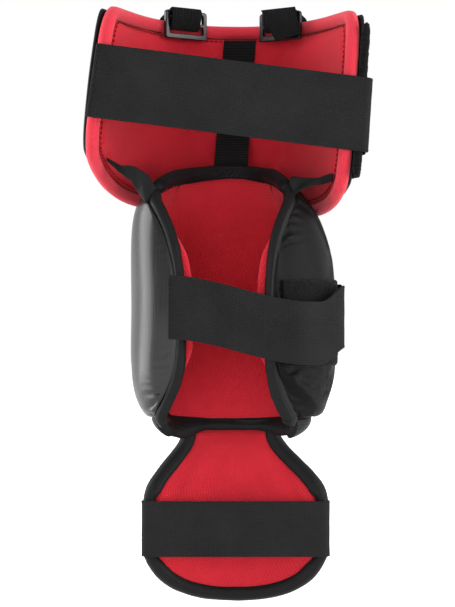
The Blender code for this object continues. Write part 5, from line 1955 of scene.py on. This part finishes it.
@dataclass
class Studio:
    """A white floor and surround, softboxes and the camera of the photograph."""

    floor_height: float = -0.235
    floor_half: float = 6.0
    camera_place: Triple = (-5.9 * MM, -1.34, -2.4 * MM)
    lens: float = 111.7
    softboxes: tuple[Softbox, ...] = (
        Softbox("left_softbox", (-1.15, 0.1, 0.1), (1.0, 1.4), 22.0),
        Softbox("right_softbox", (1.15, -0.35, 0.05), (0.9, 1.2), 18.0),
        Softbox("top_softbox", (0.0, -0.5, 1.25), (1.1, 1.1), 3.5),
        Softbox("front_softbox", (-0.3, -1.8, -0.15), (1.2, 0.8), 10.8),
    )

    def build(self) -> None:
        """Make the floor, the light and the camera."""
        bpy.context.scene.view_settings.view_transform = "Standard"
        self.floor()
        self.sky()
        for softbox in self.softboxes:
            softbox.hang()
        camera = bpy.data.cameras.new("photo_camera")
        camera.lens = self.lens
        camera.sensor_width = 36.0
        camera.clip_end = 50.0
        stand = add_object("photo_camera", camera)
        stand.location = self.camera_place
        stand.rotation_euler = (math.pi / 2, 0.0, 0.0)
        bpy.context.scene.camera = stand

    def seen(
        self, tree: Tree, glossy: Socket | None = None
    ) -> Socket:
        """Give 1 for the rays that see the white background.

        Args:
            tree: the node tree.
            glossy: how white the background is in reflections, when it isn't white all round.

        Returns:
            The socket that is 1 for camera, glossy and transmission rays.
        """
        path = add_node(tree, "ShaderNodeLightPath").outputs
        mirror = path["Is Glossy Ray"]
        if glossy is not None:
            dimmed = {0: mirror, 1: glossy}
            mirror = add_node(tree, "ShaderNodeMath", {"operation": "MULTIPLY"}, dimmed).outputs[0]
        first = {0: path["Is Camera Ray"], 1: mirror}
        both = add_node(tree, "ShaderNodeMath", {"operation": "MAXIMUM"}, first)
        last = {0: both.outputs[0], 1: path["Is Transmission Ray"]}
        return add_node(tree, "ShaderNodeMath", {"operation": "MAXIMUM"}, last).outputs[0]

    def floor(self) -> None:
        """Make the paper floor, which looks white and keeps the shadow near the guard."""
        material = bpy.data.materials.new("matt_paper")
        material.use_nodes = True
        tree = material.node_tree
        shader = tree.nodes["Principled BSDF"]
        shader.inputs["Base Color"].default_value = linear("#F2F2F2")
        shader.inputs["Roughness"].default_value = 0.9
        shader.inputs["Specular IOR Level"].default_value = 0.1
        place = add_node(tree, "ShaderNodeTexCoord").outputs["Object"]
        away = add_node(tree, "ShaderNodeVectorMath", {"operation": "LENGTH"}, {0: place}).outputs["Value"]
        glow = {"Value": away, "From Min": 0.15, "From Max": 0.9, "To Min": 0.5, "To Max": 1.0}
        lit = add_node(tree, "ShaderNodeMapRange", None, glow).outputs["Result"]
        shown = add_node(tree, "ShaderNodeMath", {"operation": "MULTIPLY"}, {0: lit, 1: self.seen(tree)})
        tree.links.new(shown.outputs[0], shader.inputs["Emission Strength"])
        shader.inputs["Emission Color"].default_value = linear("#FFFFFF")
        mesh = bpy.data.meshes.new("paper_floor")
        far = self.floor_half
        corners = [(-far, -far, 0.0), (far, -far, 0.0), (far, far, 0.0), (-far, far, 0.0)]
        mesh.from_pydata(corners, [], [(0, 1, 2, 3)])
        mesh.materials.append(material)
        piece = add_object("paper_floor", mesh)
        piece.location = (0.0, 0.0, self.floor_height)

    def sky(self) -> None:
        """Make the world: a white cove behind the guard, a dim room before it, and a soft fill."""
        world = bpy.data.worlds.new("white_cove")
        world.use_nodes = True
        tree = world.node_tree
        back = tree.nodes["Background"]
        way = add_node(tree, "ShaderNodeTexCoord").outputs["Generated"]
        deep = add_node(tree, "ShaderNodeSeparateXYZ", None, {0: way}).outputs["Y"]
        cove = add_node(tree, "ShaderNodeMapRange", None, {"Value": deep, "From Min": 0.1, "From Max": 0.7})
        fill = {"Value": self.seen(tree, cove.outputs["Result"]), "To Min": 0.5, "To Max": 1.0}
        strength = add_node(tree, "ShaderNodeMapRange", None, fill)
        tree.links.new(strength.outputs["Result"], back.inputs["Strength"])
        back.inputs["Color"].default_value = linear("#FFFFFF")
        bpy.context.scene.world = world


def main() -> None:
    """Build the guard and its studio."""
    logging.basicConfig(level=logging.INFO, format="%(name)s: %(message)s")
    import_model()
    Studio().build()
    finishes = Finishes()
    for assembly in (ThighGuard(finishes), KneeCup(finishes), ShinFlap(finishes)):
        assembly.build()
    bpy.context.view_layer.update()


if __name__ == "__main__":
    main()
